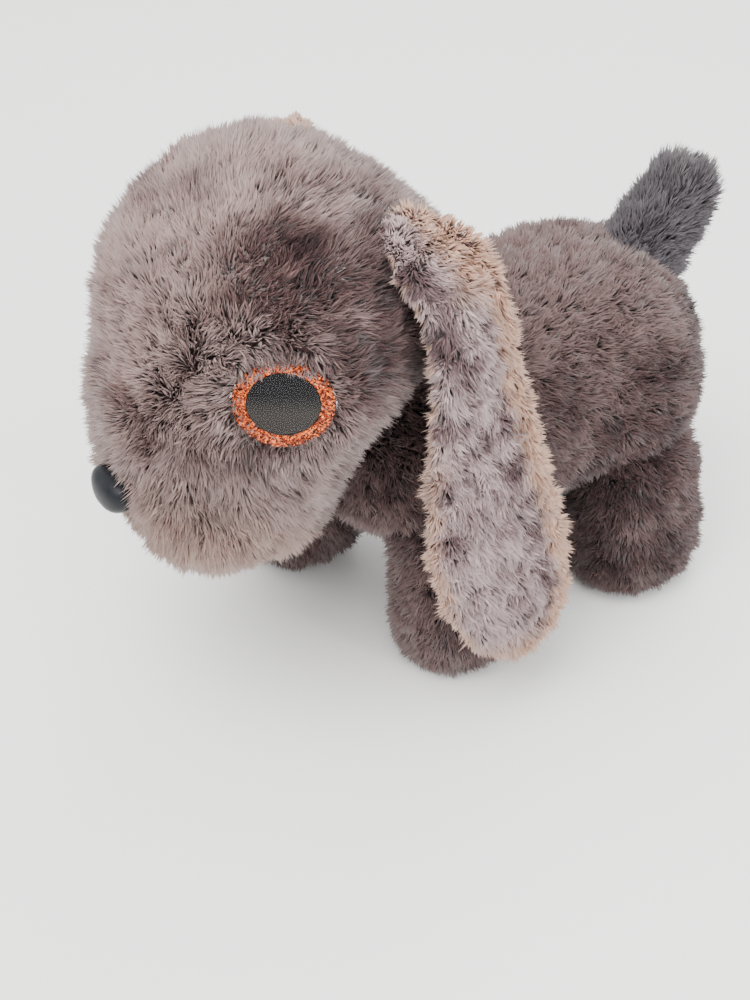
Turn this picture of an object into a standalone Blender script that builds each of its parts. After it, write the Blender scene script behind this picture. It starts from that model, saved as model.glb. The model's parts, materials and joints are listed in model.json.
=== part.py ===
"""A battery plush puppy: plush skins over a plastic chassis, with walking legs, a nodding head,
loose ears and a wagging tail.

Units are metres. +Z is up, the nose points along -Y, the dog's own left is +X, and the feet
stand on Z = 0.
"""
import math

import bmesh
import bpy
from mathutils import Matrix, Vector

MM = 0.001
GAP = 0.35 * MM
SIDES = {"left": 1, "right": -1}
# everything is drawn from a point below the shoulders, then moved to stand centred on the origin
SOLE_Z = 4.0 * MM
DRAWN_TO_FRAME = Vector((0.0, 14.067, 0.0)) * MM - Vector((0.0, 0.0, SOLE_Z))

# --- driving sizes -------------------------------------------------------------------------
RING_COUNT = 20
PLUSH_WALL = 3.6 * MM

HIP_Z = 48.0 * MM
FRONT_HIP_Y = -24.0 * MM
REAR_HIP_Y = 45.0 * MM
LEG_X = 31.0 * MM
LEG_SWING = math.radians(10)
LEG_HALF = {"front": (18.0 * MM, 19.0 * MM), "rear": (19.0 * MM, 21.5 * MM)}
LEG_TOP = 19.0 * MM
HIP_Y = {"front": FRONT_HIP_Y, "rear": REAR_HIP_Y}
FOOT_SHIFT = {"front_right": Vector((-7.0, -16.0, 0.0)) * MM}

HEAD_PIVOT = Vector((0.0, -50.0, 105.0)) * MM
HEAD_UP = math.radians(-10)
HEAD_DOWN = math.radians(8)

TAIL_ROOT = Vector((0.0, 64.0, 90.0)) * MM
TAIL_LEAN = math.radians(32)
TAIL_LENGTH = 46.0 * MM
TAIL_SWING = math.radians(20)

EAR_SEAM = {side: Vector((sign * 38.0, -36.0, 155.0)) * MM for side, sign in SIDES.items()}

EYE_CENTRE = Vector((38.8, -84.6, 121.5)) * MM
EYE_TURN = math.radians(57)
EYE_RADIUS = 12.8 * MM
NOSE_CENTRE = Vector((0.0, -114.6, 83.0)) * MM

CHASSIS_HALF = 18.0 * MM
CHASSIS_WALL = 1.8 * MM
CHASSIS_Y = (-25.0 * MM, 49.5 * MM)
CHASSIS_Z = (70.0 * MM, 99.0 * MM)
KEEL_HALF = 7.6 * MM
KEEL_Y = (-28.0 * MM, 60.5 * MM)
KEEL_BOTTOM = 43.4 * MM
BATTERY_RADIUS = 5.25 * MM
BATTERY_LENGTH = 44.5 * MM
BATTERY_BAY_Y = (-15.0 * MM, 35.5 * MM)
BATTERY_Z = (49.5 * MM, 60.6 * MM)

AXLE_RADIUS = 1.5 * MM
SHAFT_Y = 11.5 * MM
SHAFT_Z = 79.2 * MM
WHEEL_TEETH = 16
WHEEL_PITCH_RADIUS = 6.4 * MM
WORM_PITCH_RADIUS = 2.4 * MM
WORM_Z = SHAFT_Z + WHEEL_PITCH_RADIUS + WORM_PITCH_RADIUS
CIRCULAR_PITCH = 2 * math.pi * WHEEL_PITCH_RADIUS / WHEEL_TEETH
LEVER_LENGTH = 32.0 * MM
CRANK_RADIUS = 5.5 * MM
YOKE_X = (25.6 * MM, 28.0 * MM)
GUIDE_POST_Y = (-9.0 * MM, 32.0 * MM)
SCREW_PLACES = [(y * MM, z * MM) for y in (-21.4, 45.9) for z in (75.0, 94.6)]

BUTTON_CENTRE = Vector((0.0, 26.0, 99.0)) * MM
SWITCH_Y = 56.0 * MM
DOOR_SCREW_Y = 39.2 * MM
SPEAKER_CENTRE = Vector((0.0, -8.0, 88.0)) * MM
MOTOR_Y = (19.0 * MM, 43.0 * MM)


# --- scene and materials -------------------------------------------------------------------
for old in list(bpy.data.objects):
    bpy.data.objects.remove(old, do_unlink=True)


def make_material(name, colour, roughness, metallic=0.0):
    material = bpy.data.materials.new(name)
    material.use_nodes = True
    shader = material.node_tree.nodes["Principled BSDF"]
    shader.inputs["Base Color"].default_value = (*colour, 1.0)
    shader.inputs["Roughness"].default_value = roughness
    shader.inputs["Metallic"].default_value = metallic
    material.diffuse_color = (*colour, 1.0)
    return material


MATERIALS = {
    "plush_body": make_material("plush_body", (0.17, 0.13, 0.13), 0.95),
    "plush_head": make_material("plush_head", (0.24, 0.20, 0.19), 0.95),
    "plush_ear": make_material("plush_ear", (0.30, 0.25, 0.24), 0.95),
    "stuffing": make_material("stuffing", (0.86, 0.86, 0.84), 0.95),
    "eye_clear": make_material("eye_clear", (0.85, 0.86, 0.88), 0.05),
    "eye_glitter": make_material("eye_glitter", (0.75, 0.25, 0.08), 0.30, 0.6),
    "eye_black": make_material("eye_black", (0.02, 0.02, 0.025), 0.15),
    "nose_black": make_material("nose_black", (0.02, 0.025, 0.035), 0.30),
    "white_plastic": make_material("white_plastic", (0.80, 0.79, 0.75), 0.45),
    "grey_plastic": make_material("grey_plastic", (0.33, 0.34, 0.36), 0.50),
    "black_plastic": make_material("black_plastic", (0.03, 0.03, 0.03), 0.40),
    "steel": make_material("steel", (0.62, 0.62, 0.64), 0.28, 1.0),
    "brass": make_material("brass", (0.78, 0.60, 0.28), 0.30, 1.0),
    "battery_wrap": make_material("battery_wrap", (0.12, 0.20, 0.32), 0.35),
    "board_green": make_material("board_green", (0.05, 0.25, 0.12), 0.45),
    "speaker_paper": make_material("speaker_paper", (0.10, 0.10, 0.10), 0.85),
}

BODY_PLACES = {"torso": Vector((0.0, 0.0, 0.0))}
BODY_EMPTIES = {}


def add_body(name, place, parent="torso"):
    """An empty on the joint's axis that carries one moving body."""
    empty = bpy.data.objects.new("frame_" + name, None)
    bpy.context.collection.objects.link(empty)
    BODY_PLACES[name] = Vector(place) + DRAWN_TO_FRAME
    empty.location = BODY_PLACES[name] - BODY_PLACES[parent]
    empty.parent = BODY_EMPTIES.get(parent)
    BODY_EMPTIES[name] = empty


def add_part(name, shape, material, body="torso", smooth=True):
    """Turn a drawn shape into the named part of a body."""
    bmesh.ops.translate(shape, verts=shape.verts, vec=DRAWN_TO_FRAME - BODY_PLACES[body])
    bmesh.ops.recalc_face_normals(shape, faces=shape.faces)
    mesh = bpy.data.meshes.new(name)
    shape.to_mesh(mesh)
    shape.free()
    if smooth:
        mesh.shade_smooth()
        mesh.set_sharp_from_angle(angle=math.radians(40))
    part = bpy.data.objects.new(name, mesh)
    bpy.context.collection.objects.link(part)
    part.data.materials.append(MATERIALS[material])
    part.parent = BODY_EMPTIES.get(body)
    return part


def combine(part, shape, operation="DIFFERENCE"):
    """Cut a hidden tool shape out of a part, or unite the two."""
    bmesh.ops.translate(shape, verts=shape.verts, vec=DRAWN_TO_FRAME)
    bmesh.ops.recalc_face_normals(shape, faces=shape.faces)
    tool_mesh = bpy.data.meshes.new(part.name + "_tool")
    shape.to_mesh(tool_mesh)
    shape.free()
    tool = bpy.data.objects.new(part.name + "_tool", tool_mesh)
    bpy.context.collection.objects.link(tool)
    tool.hide_render = True
    tool.display_type = "WIRE"
    modifier = part.modifiers.new(operation.lower(), "BOOLEAN")
    modifier.operation = operation
    modifier.solver = "EXACT"
    modifier.object = tool


def unite(part, shape):
    combine(part, shape, "UNION")


# --- shapes --------------------------------------------------------------------------------
def box(low, high):
    """A box between two corners given in millimetres."""
    shape = bmesh.new()
    bmesh.ops.create_cube(shape, size=1.0)
    low, high = Vector(low) * MM, Vector(high) * MM
    for vert in shape.verts:
        for axis in range(3):
            vert.co[axis] = high[axis] if vert.co[axis] > 0 else low[axis]
    return shape


def rod(start, end, radius, segments=14, end_radius=None):
    """A round rod, or a cone, between two points."""
    start, end = Vector(start), Vector(end)
    shape = bmesh.new()
    bmesh.ops.create_cone(shape, cap_ends=True, segments=segments, radius1=radius,
                          radius2=radius if end_radius is None else end_radius,
                          depth=(end - start).length)
    turn = (end - start).to_track_quat("Z", "Y").to_matrix().to_4x4()
    bmesh.ops.transform(shape, matrix=Matrix.Translation((start + end) / 2) @ turn, verts=shape.verts)
    return shape


def rod_x(centre_y, centre_z, x_from, x_to, radius, segments=14):
    return rod((x_from, centre_y, centre_z), (x_to, centre_y, centre_z), radius, segments)


def plate(outline, axis, start, end):
    """Extrude an outline along an axis: its points are the other two coordinates in order."""
    shape = bmesh.new()
    ends = []
    for level in (start, end):
        loop = []
        for first, second in outline:
            place = [first, second]
            place.insert("XYZ".index(axis), level)
            loop.append(shape.verts.new(place))
        ends.append(loop)
    shape.faces.new(ends[0])
    shape.faces.new(reversed(ends[1]))
    count = len(outline)
    for i in range(count):
        j = (i + 1) % count
        shape.faces.new((ends[0][i], ends[0][j], ends[1][j], ends[1][i]))
    return shape


def arc(centre, radius, start, end, count):
    """Points on an arc, angles in degrees."""
    points = []
    for i in range(count + 1):
        angle = math.radians(start + (end - start) * i / count)
        points.append((centre[0] + radius * math.cos(angle), centre[1] + radius * math.sin(angle)))
    return points


def oval(half_a, half_b, power, count=RING_COUNT):
    """Points of a superellipse."""
    points = []
    for i in range(count):
        angle = 2 * math.pi * i / count
        cosine, sine = math.cos(angle), math.sin(angle)
        points.append((math.copysign(half_a * abs(cosine) ** (2 / power), cosine),
                       math.copysign(half_b * abs(sine) ** (2 / power), sine)))
    return points


def loft(rings, start_pole=None, end_pole=None):
    """A closed skin through rings of equal count, ended by poles or flat caps."""
    shape = bmesh.new()
    loops = [[shape.verts.new(point) for point in ring] for ring in rings]
    count = len(loops[0])
    for lower, upper in zip(loops, loops[1:]):
        for i in range(count):
            j = (i + 1) % count
            shape.faces.new((lower[i], lower[j], upper[j], upper[i]))
    for loop, pole in ((loops[0], start_pole), (loops[-1], end_pole)):
        if pole is None:
            shape.faces.new(loop)
            continue
        tip = shape.verts.new(pole)
        for i in range(count):
            shape.faces.new((loop[i], loop[(i + 1) % count], tip))
    return shape


def turn_about(shape, place, axis, angle):
    move = Matrix.Translation(place)
    bmesh.ops.transform(shape, matrix=move @ Matrix.Rotation(angle, 4, axis) @ move.inverted(),
                        verts=shape.verts)
    return shape


def transformed(shape, matrix):
    bmesh.ops.transform(shape, matrix=matrix, verts=shape.verts)
    return shape


# --- soft shapes ---------------------------------------------------------------------------
# head: height, half width, front, back, in millimetres
HEAD_SECTIONS = [
    (59.0, 17.0, -98.0, -65.0),
    (63.5, 27.5, -107.0, -58.5),
    (71.0, 34.5, -112.5, -54.5),
    (82.0, 38.5, -115.0, -51.5),
    (94.0, 40.5, -114.0, -46.0),
    (104.0, 43.0, -112.5, -36.0),
    (116.0, 46.0, -110.5, -25.0),
    (130.0, 47.0, -108.0, -19.0),
    (142.0, 45.0, -104.5, -21.5),
    (153.0, 40.0, -98.0, -28.5),
    (162.0, 31.5, -89.5, -38.5),
    (168.0, 20.0, -79.0, -47.0),
]
HEAD_POLES = (Vector((0.0, -82.0, 57.0)) * MM, Vector((0.0, -63.0, 171.0)) * MM)
HEAD_POWER = 2.3

# body: distance along Y, half width, bottom, top, in millimetres
BODY_SECTIONS = [
    (-57.5, 13.0, 59.0, 83.0),
    (-50.0, 25.0, 49.0, 95.0),
    (-38.0, 34.0, 40.5, 104.0),
    (-22.0, 37.5, 37.5, 107.5),
    (0.0, 37.5, 37.5, 108.5),
    (20.0, 38.5, 36.5, 109.5),
    (40.0, 40.0, 34.5, 110.0),
    (56.0, 37.5, 37.0, 107.5),
    (69.0, 28.0, 46.0, 99.0),
    (76.5, 16.0, 57.0, 87.0),
]
BODY_POLES = (Vector((0.0, -60.5, 71.0)) * MM, Vector((0.0, 79.0, 72.0)) * MM)
BODY_POWER = 2.3


def stretched(value, middle, grow, half):
    return middle + (value - middle) * (half + grow) / half


def head_shape(grow=0.0):
    """The head's outer surface, grown outwards by a distance."""
    middle_z = (HEAD_POLES[0].z + HEAD_POLES[1].z) / 2
    half_z = (HEAD_POLES[1].z - HEAD_POLES[0].z) / 2
    rings = []
    for height, half_width, front, back in HEAD_SECTIONS:
        level = stretched(height * MM, middle_z, grow, half_z)
        middle_y = (front + back) / 2 * MM
        half_depth = (back - front) / 2 * MM + grow
        outline = oval(half_width * MM + grow, half_depth, HEAD_POWER)
        rings.append([(x, middle_y + y, level) for x, y in outline])
    poles = [pole + Vector((0, 0, grow * sign)) for pole, sign in zip(HEAD_POLES, (-1, 1))]
    return loft(rings, *poles)


def body_shape(grow=0.0):
    """The body's outer surface, grown outwards by a distance."""
    middle_y = (BODY_POLES[0].y + BODY_POLES[1].y) / 2
    half_y = (BODY_POLES[1].y - BODY_POLES[0].y) / 2
    rings = []
    for along, half_width, bottom, top in BODY_SECTIONS:
        place = stretched(along * MM, middle_y, grow, half_y)
        middle_z = (bottom + top) / 2 * MM
        half_height = (top - bottom) / 2 * MM + grow
        outline = oval(half_width * MM + grow, half_height, BODY_POWER)
        rings.append([(x, place, middle_z + z) for x, z in outline])
    poles = [pole + Vector((0, grow * sign, 0)) for pole, sign in zip(BODY_POLES, (-1, 1))]
    return loft(rings, *poles)


# leg: height above the sole, size, from the sole to the top of the hip
LEG_PROFILE = [(0.0, 0.74), (2.2, 0.89), (8.0, 1.0), (44.0, 1.0), (52.0, 0.88), (59.0, 0.58)]


def leg_shape(end, side):
    """A stubby leg with a flat sole, its foot shifted when it is set forward."""
    half_x, half_y = LEG_HALF[end]
    shift = FOOT_SHIFT.get(end + "_" + side, Vector((0, 0, 0)))
    rings = []
    for height, scale in LEG_PROFILE:
        level = SOLE_Z + height * MM
        lean = max(0.0, (HIP_Z - level) / (HIP_Z - SOLE_Z))
        centre_x = SIDES[side] * LEG_X + shift.x * lean
        centre_y = HIP_Y[end] + shift.y * lean
        outline = oval(half_x * scale, half_y * scale, 2.2)
        rings.append([(centre_x + x, centre_y + y, level) for x, y in outline])
    top = (SIDES[side] * LEG_X, HIP_Y[end], HIP_Z + LEG_TOP)
    return loft(rings, end_pole=top)


# ear: height, distance out, half width, half thickness, in millimetres
EAR_SECTIONS = [
    (154.5, 40.0, 8.0, 2.6),
    (150.0, 43.6, 13.0, 3.4),
    (142.0, 48.0, 16.5, 3.8),
    (130.0, 50.6, 18.5, 4.0),
    (112.0, 51.2, 20.0, 4.2),
    (90.0, 52.2, 21.5, 4.4),
    (66.0, 54.8, 22.0, 4.4),
    (44.0, 57.0, 20.0, 4.4),
    (31.0, 58.4, 14.5, 4.0),
    (25.5, 59.0, 8.0, 3.0),
]
EAR_MIDDLE_Y = (-37.0, -21.0)


def ear_shape(side):
    """A long flat ear that hangs beside the head."""
    sign = SIDES[side]
    top, bottom = EAR_SECTIONS[0][0], EAR_SECTIONS[-1][0]
    rings = []
    for height, out, half_width, half_thickness in EAR_SECTIONS:
        share = (top - height) / (top - bottom)
        middle_y = EAR_MIDDLE_Y[0] + (EAR_MIDDLE_Y[1] - EAR_MIDDLE_Y[0]) * share
        outline = oval(half_thickness * MM, half_width * MM, 2.4, 14)
        rings.append([(sign * out * MM + x, middle_y * MM + y, height * MM) for x, y in outline])
    first = Vector((sign * 38.4, EAR_MIDDLE_Y[0], 156.5)) * MM
    last = Vector((sign * 59.3, EAR_MIDDLE_Y[1], 23.0)) * MM
    return loft(rings, first, last)


# tail: distance from the root along the tail, radius, in millimetres
TAIL_SECTIONS = [(-6.0, 8.6), (-2.0, 10.6), (6.0, 12.2), (16.0, 12.6), (28.0, 11.6), (38.0, 9.2), (44.0, 5.6)]
TAIL_FRAME = Matrix.Translation(TAIL_ROOT) @ Matrix.Rotation(-TAIL_LEAN, 4, "X")
TAIL_AXIS = (TAIL_FRAME.to_3x3() @ Vector((0, -1, 0))).normalized()


def tail_shape():
    """The upturned tail. In its own frame Z runs from root to tip."""
    rings = []
    for along, radius in TAIL_SECTIONS:
        rings.append([(x, y, along * MM) for x, y in oval(radius * MM, radius * MM, 2.0, 16)])
    return transformed(loft(rings, end_pole=(0, 0, TAIL_LENGTH)), TAIL_FRAME)


def tail_box(low, high):
    return transformed(box(low, high), TAIL_FRAME)


def tail_rod(start, end, radius, segments=14):
    return transformed(rod(Vector(start) * MM, Vector(end) * MM, radius * MM, segments), TAIL_FRAME)


# --- bodies --------------------------------------------------------------------------------
add_body("head", HEAD_PIVOT)
add_body("tail", TAIL_ROOT)
for side in SIDES:
    add_body("ear_" + side, EAR_SEAM[side], "head")
for end in HIP_Y:
    for side, sign in SIDES.items():
        add_body("leg_" + end + "_" + side, (sign * LEG_X, HIP_Y[end], HIP_Z))
for side, sign in SIDES.items():
    add_body("yoke_" + side, (sign * YOKE_X[0], SHAFT_Y, HIP_Z + LEVER_LENGTH))
add_body("crankshaft", (0.0, SHAFT_Y, SHAFT_Z))
add_body("worm", (0.0, SHAFT_Y, WORM_Z))
add_body("battery_door", (0.0, 12.0 * MM, KEEL_BOTTOM))
add_body("switch", (0.0, SWITCH_Y, KEEL_BOTTOM))
add_body("button", BUTTON_CENTRE)


# --- chassis -------------------------------------------------------------------------------
def chassis_boss(side, y, z):
    """A pillar from the split face to the side wall, around one screw."""
    sign = SIDES[side]
    return rod_x(y, z, sign * GAP / 2, sign * (CHASSIS_HALF - 0.4 * MM), 2.5 * MM, 12)


def make_chassis(side):
    """One half of the gearbox and battery keel, split down the middle."""
    sign = SIDES[side]
    wall = CHASSIS_WALL / MM
    inner, outer = GAP / 2 / MM, CHASSIS_HALF / MM
    y0, y1 = CHASSIS_Y[0] / MM, CHASSIS_Y[1] / MM
    z0, z1 = CHASSIS_Z[0] / MM, CHASSIS_Z[1] / MM

    def side_box(x_from, x_to, y_from, y_to, z_from, z_to):
        xs = sorted((sign * x_from, sign * x_to))
        return box((xs[0], y_from, z_from), (xs[1], y_to, z_to))

    shell = add_part("chassis_" + side + "_shell", side_box(inner, outer, y0, y1, z0, z1),
                     "white_plastic", smooth=False)
    combine(shell, side_box(inner - 1, outer - wall, y0 + wall, y1 - wall, z0 + wall, z1 - wall))
    unite(shell, side_box(inner, KEEL_HALF / MM, KEEL_Y[0] / MM, KEEL_Y[1] / MM, KEEL_BOTTOM / MM, z0 + 1))
    for y, z in SCREW_PLACES:
        unite(shell, chassis_boss(side, y, z))
    for y in GUIDE_POST_Y:
        post = rod_x(y, HIP_Z + LEVER_LENGTH, sign * (CHASSIS_HALF - 1 * MM), sign * 28.4 * MM, 1.5 * MM, 12)
        unite(shell, post)
    bay_half = (BATTERY_RADIUS + GAP) / MM
    combine(shell, side_box(-1, bay_half, BATTERY_BAY_Y[0] / MM, BATTERY_BAY_Y[1] / MM, 40, 66.4))
    combine(shell, side_box(-1, 4.3, 51.5, 60, 40, 50.2))
    for y in HIP_Y.values():
        combine(shell, rod_x(y, HIP_Z, -sign * MM, sign * 12 * MM, AXLE_RADIUS + 0.2 * MM))
    combine(shell, rod_x(SHAFT_Y, SHAFT_Z, sign * 12 * MM, sign * 22 * MM, AXLE_RADIUS + GAP))
    for y, z in SCREW_PLACES:
        hole = rod_x(y, z, -sign * MM, sign * (20 if side == "left" else 12) * MM, 1.35 * MM, 12)
        combine(shell, hole)
        if side == "left":
            combine(shell, rod_x(y, z, sign * 16.2 * MM, sign * 20 * MM, 2.2 * MM, 12))
    combine(shell, rod(BUTTON_CENTRE - Vector((0, 0, 6 * MM)), BUTTON_CENTRE + Vector((0, 0, 6 * MM)),
                       3.4 * MM))
    combine(shell, rod((0, DOOR_SCREW_Y, 38 * MM), (0, DOOR_SCREW_Y, 54 * MM), 1.2 * MM, 12))
    return shell


for side in SIDES:
    make_chassis(side)

for number, (y, z) in enumerate(SCREW_PLACES, start=1):
    screw = add_part("chassis_screw_" + str(number),
                     rod_x(y, z, -9 * MM, 16.6 * MM, 1.05 * MM, 8), "steel")
    unite(screw, rod_x(y, z, 16.5 * MM, 17.9 * MM, 1.9 * MM, 12))
    for half_y, half_z in ((1.3, 0.25), (0.25, 1.3)):
        combine(screw, box((17.3, y / MM - half_y, z / MM - half_z),
                           (18.5, y / MM + half_y, z / MM + half_z)))

for number, z in enumerate(BATTERY_Z, start=1):
    direction = 1 if number == 1 else -1
    middle_y = (BATTERY_BAY_Y[0] + BATTERY_BAY_Y[1]) / 2 + direction * 1.4 * MM
    can_half = BATTERY_LENGTH / 2
    battery = add_part("battery_" + str(number),
                       rod((0, middle_y - can_half, z), (0, middle_y + can_half - MM, z), BATTERY_RADIUS, 18),
                       "battery_wrap")
    tip = middle_y + direction * (can_half - 0.6 * MM)
    unite(battery, rod((0, tip - direction * 2 * MM, z), (0, tip + direction * 0.8 * MM, z), 1.9 * MM, 12))

for name, y in (("front", BATTERY_BAY_Y[0] + 0.6 * MM), ("rear", BATTERY_BAY_Y[1] - 0.6 * MM)):
    add_part(name + "_contact_plate", box((-4.6, y / MM - 0.25, 45.0), (4.6, y / MM + 0.25, 65.0)), "steel",
             smooth=False)

board = add_part("circuit_board", box((-15.0, -18.0, 80.0), (15.0, 1.0, 81.6)), "board_green", smooth=False)
unite(board, box((-11.0, -14.0, 81.0), (-3.0, -6.0, 83.0)))
unite(board, box((4.0, -13.0, 81.0), (8.0, -9.0, 84.0)))



def speaker_rod(start, end, radius, end_radius=None):
    return rod(SPEAKER_CENTRE + Vector((0, 0, start * MM)), SPEAKER_CENTRE + Vector((0, 0, end * MM)),
               radius * MM, 20, end_radius)


speaker = add_part("speaker_frame", speaker_rod(0, 8, 10.4), "steel")
combine(speaker, speaker_rod(2.5, 9, 9.2))
add_part("speaker_cone", speaker_rod(3, 7.6, 3.0, 8.8 * MM), "speaker_paper")

can_outline = arc((0, WORM_Z), 10.0 * MM, -46, 46, 8) + arc((0, WORM_Z), 10.0 * MM, 134, 226, 8)
motor = add_part("motor", plate(can_outline, "Y", *MOTOR_Y), "steel")
unite(motor, rod((0, MOTOR_Y[0] - 1.6 * MM, WORM_Z), (0, MOTOR_Y[0] + MM, WORM_Z), 3.0 * MM))

for end, y in HIP_Y.items():
    add_part(end + "_hip_axle", rod_x(y, HIP_Z, -27.5 * MM, 27.5 * MM, AXLE_RADIUS), "steel")

switch_body = add_part("switch_body", box((-3.9, 52.0, 44.6), (3.9, 59.6, 49.8)), "black_plastic",
                       smooth=False)
combine(switch_body, box((-1.7, 52.8, 43.0), (1.7, 58.8, 48.0)))


# --- drive ---------------------------------------------------------------------------------
def make_worm_wheel():
    """The wheel's teeth stand off its rim, one gap facing the worm at the top."""
    half_tooth = 0.42 * MM
    outer, root = WHEEL_PITCH_RADIUS + 0.5 * MM, WHEEL_PITCH_RADIUS - 0.9 * MM
    outline = []
    for tooth in range(WHEEL_TEETH):
        middle = math.pi / 2 + 2 * math.pi * (tooth + 0.5) / WHEEL_TEETH
        for radius, offset in ((root, -1.4), (outer, -0.8), (outer, 0.8), (root, 1.4)):
            angle = middle + offset * half_tooth / WHEEL_PITCH_RADIUS
            outline.append((SHAFT_Y + radius * math.cos(angle), SHAFT_Z + radius * math.sin(angle)))
    wheel = add_part("worm_wheel", plate(outline, "X", -1.5 * MM, 1.5 * MM), "white_plastic", "crankshaft",
                     smooth=False)
    combine(wheel, rod_x(SHAFT_Y, SHAFT_Z, -3 * MM, 3 * MM, AXLE_RADIUS + 0.1 * MM))


def make_worm():
    """A one-start worm: a helical thread on a core, its thread in the wheel's top gap."""
    length = 10.0 * MM
    core, crest = WORM_PITCH_RADIUS - 0.8 * MM, WORM_PITCH_RADIUS + 0.6 * MM
    steps_per_turn = 10
    turns = 2.6
    half_root, half_crest = 0.55 * MM, 0.30 * MM
    shape = bmesh.new()
    loops = []
    total = int(steps_per_turn * turns)
    for i in range(total + 1):
        turned = 2 * math.pi * (i / steps_per_turn - turns / 2)
        middle = SHAFT_Y + turned / (2 * math.pi) * CIRCULAR_PITCH
        fade = min(1.0, i / 3, (total - i) / 3)
        tip = core + 0.05 * MM + (crest - core - 0.05 * MM) * fade
        angle = -math.pi / 2 - turned
        loop = []
        for along, radius in ((-half_root, core - 0.3 * MM), (-half_crest, tip),
                              (half_crest, tip), (half_root, core - 0.3 * MM)):
            loop.append(shape.verts.new((radius * math.cos(angle), middle + along,
                                         WORM_Z + radius * math.sin(angle))))
        loops.append(loop)
    for first, second in zip(loops, loops[1:]):
        for i in range(4):
            j = (i + 1) % 4
            shape.faces.new((first[i], first[j], second[j], second[i]))
    shape.faces.new(loops[0])
    shape.faces.new(reversed(loops[-1]))
    shaft = rod((0, SHAFT_Y - length / 2, WORM_Z), (0, SHAFT_Y + length / 2, WORM_Z), core)
    worm = add_part("motor_worm", shaft, "brass", "worm")
    unite(worm, shape)


def make_crank(side):
    """A disc on the cross shaft's end with an offset pin that stops short of the yoke."""
    sign = SIDES[side]
    disc = rod_x(SHAFT_Y, SHAFT_Z, sign * 20.4 * MM, sign * 22.8 * MM, 7.6 * MM, 20)
    crank = add_part("crank_" + side, disc, "grey_plastic", "crankshaft")
    pin_z = SHAFT_Z + sign * CRANK_RADIUS
    unite(crank, rod_x(SHAFT_Y, pin_z, sign * 22.0 * MM, sign * 25.2 * MM, 1.5 * MM, 12))
    combine(crank, rod_x(SHAFT_Y, SHAFT_Z, sign * 19 * MM, sign * 24 * MM, AXLE_RADIUS + 0.1 * MM))


def make_yoke(side):
    """The side bar: a tall slot for the crank pin, end slots for the leg levers, two guide slots."""
    sign = SIDES[side]
    x0, x1 = sorted((sign * YOKE_X[0] / MM, sign * YOKE_X[1] / MM))
    middle_z = (HIP_Z + LEVER_LENGTH) / MM
    crank_y, crank_z = SHAFT_Y / MM, SHAFT_Z / MM
    bar = box((x0, FRONT_HIP_Y / MM - 5, middle_z - 5), (x1, REAR_HIP_Y / MM + 5, middle_z + 5))
    yoke = add_part("yoke_" + side, bar, "grey_plastic", "yoke_" + side, smooth=False)
    unite(yoke, box((x0, crank_y - 4.6, crank_z - 9.6), (x1, crank_y + 4.6, crank_z + 9.6)))
    combine(yoke, box((x0 - 1, crank_y - 1.8, crank_z - 7.4), (x1 + 1, crank_y + 1.8, crank_z + 7.4)))
    for y in HIP_Y.values():
        combine(yoke, box((x0 - 1, y / MM - 1.9, middle_z - 2.6), (x1 + 1, y / MM + 1.9, middle_z + 2.6)))
    for y in GUIDE_POST_Y:
        combine(yoke, box((x0 - 1, y / MM - 7.8, middle_z - 1.9), (x1 + 1, y / MM + 7.8, middle_z + 1.9)))


make_worm_wheel()
make_worm()
add_part("cross_shaft", rod_x(SHAFT_Y, SHAFT_Z, -23.4 * MM, 23.4 * MM, AXLE_RADIUS), "steel", "crankshaft")
for side in SIDES:
    make_crank(side)
    make_yoke(side)


# --- legs ----------------------------------------------------------------------------------
CORE_X = (21.6 * MM, 24.8 * MM)
CORE_BOTTOM = 12.0 * MM
CORE_HALF = 4.5 * MM


def make_leg(end, side):
    """A plush leg round a flat plastic core whose lever reaches up to the yoke."""
    sign = SIDES[side]
    body = "leg_" + end + "_" + side
    hip_y = HIP_Y[end]
    x0, x1 = sorted((sign * CORE_X[0], sign * CORE_X[1]))
    tall = HIP_Z + LEVER_LENGTH + 3.4 * MM

    core = add_part(body + "_core", box((x0 / MM, (hip_y - CORE_HALF) / MM, CORE_BOTTOM / MM),
                                        (x1 / MM, (hip_y + CORE_HALF) / MM, tall / MM)), "grey_plastic", body)
    unite(core, rod_x(hip_y, HIP_Z, x0, x1, 6.0 * MM, 16))
    unite(core, rod_x(hip_y, HIP_Z + LEVER_LENGTH, sign * (CORE_X[0] + MM), sign * (YOKE_X[1] + 0.2 * MM),
                      1.5 * MM, 12))
    combine(core, rod_x(hip_y, HIP_Z, sign * 15 * MM, sign * 32 * MM, AXLE_RADIUS + 0.1 * MM))

    plush = add_part(body + "_plush", leg_shape(end, side), "plush_body", body)
    slot = 0.6 * MM
    combine(plush, box(((x0 - slot) / MM, (hip_y - CORE_HALF - slot) / MM, (CORE_BOTTOM - slot) / MM),
                       ((x1 + slot) / MM, (hip_y + CORE_HALF + slot) / MM, 90)))
    combine(plush, rod_x(hip_y, HIP_Z, sign * (CORE_X[0] - slot), sign * (CORE_X[1] + slot),
                         6.0 * MM + slot, 16))
    combine(plush, rod_x(hip_y, HIP_Z, sign * 8 * MM, sign * 28.5 * MM, AXLE_RADIUS + 0.9 * MM, 12))


for end in HIP_Y:
    for side in SIDES:
        make_leg(end, side)


# --- body plush ----------------------------------------------------------------------------
def hip_pocket(end, side):
    """The room a leg swings in: round above the hip and flared below it."""
    clear = 1.3 * MM
    radius = LEG_HALF[end][1] + clear
    hip = (HIP_Y[end], HIP_Z)
    drop = 26.0 * MM
    reach = radius + drop * math.tan(LEG_SWING) + 1.0 * MM
    low = HIP_Z - drop
    outline = [(hip[0] + reach, low)] + arc(hip, radius, -10, 190, 12) + [(hip[0] - reach, low)]
    sign = SIDES[side]
    near, far = sorted((sign * 11.4 * MM, sign * 62 * MM))
    return plate(outline, "X", near, far)


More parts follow.
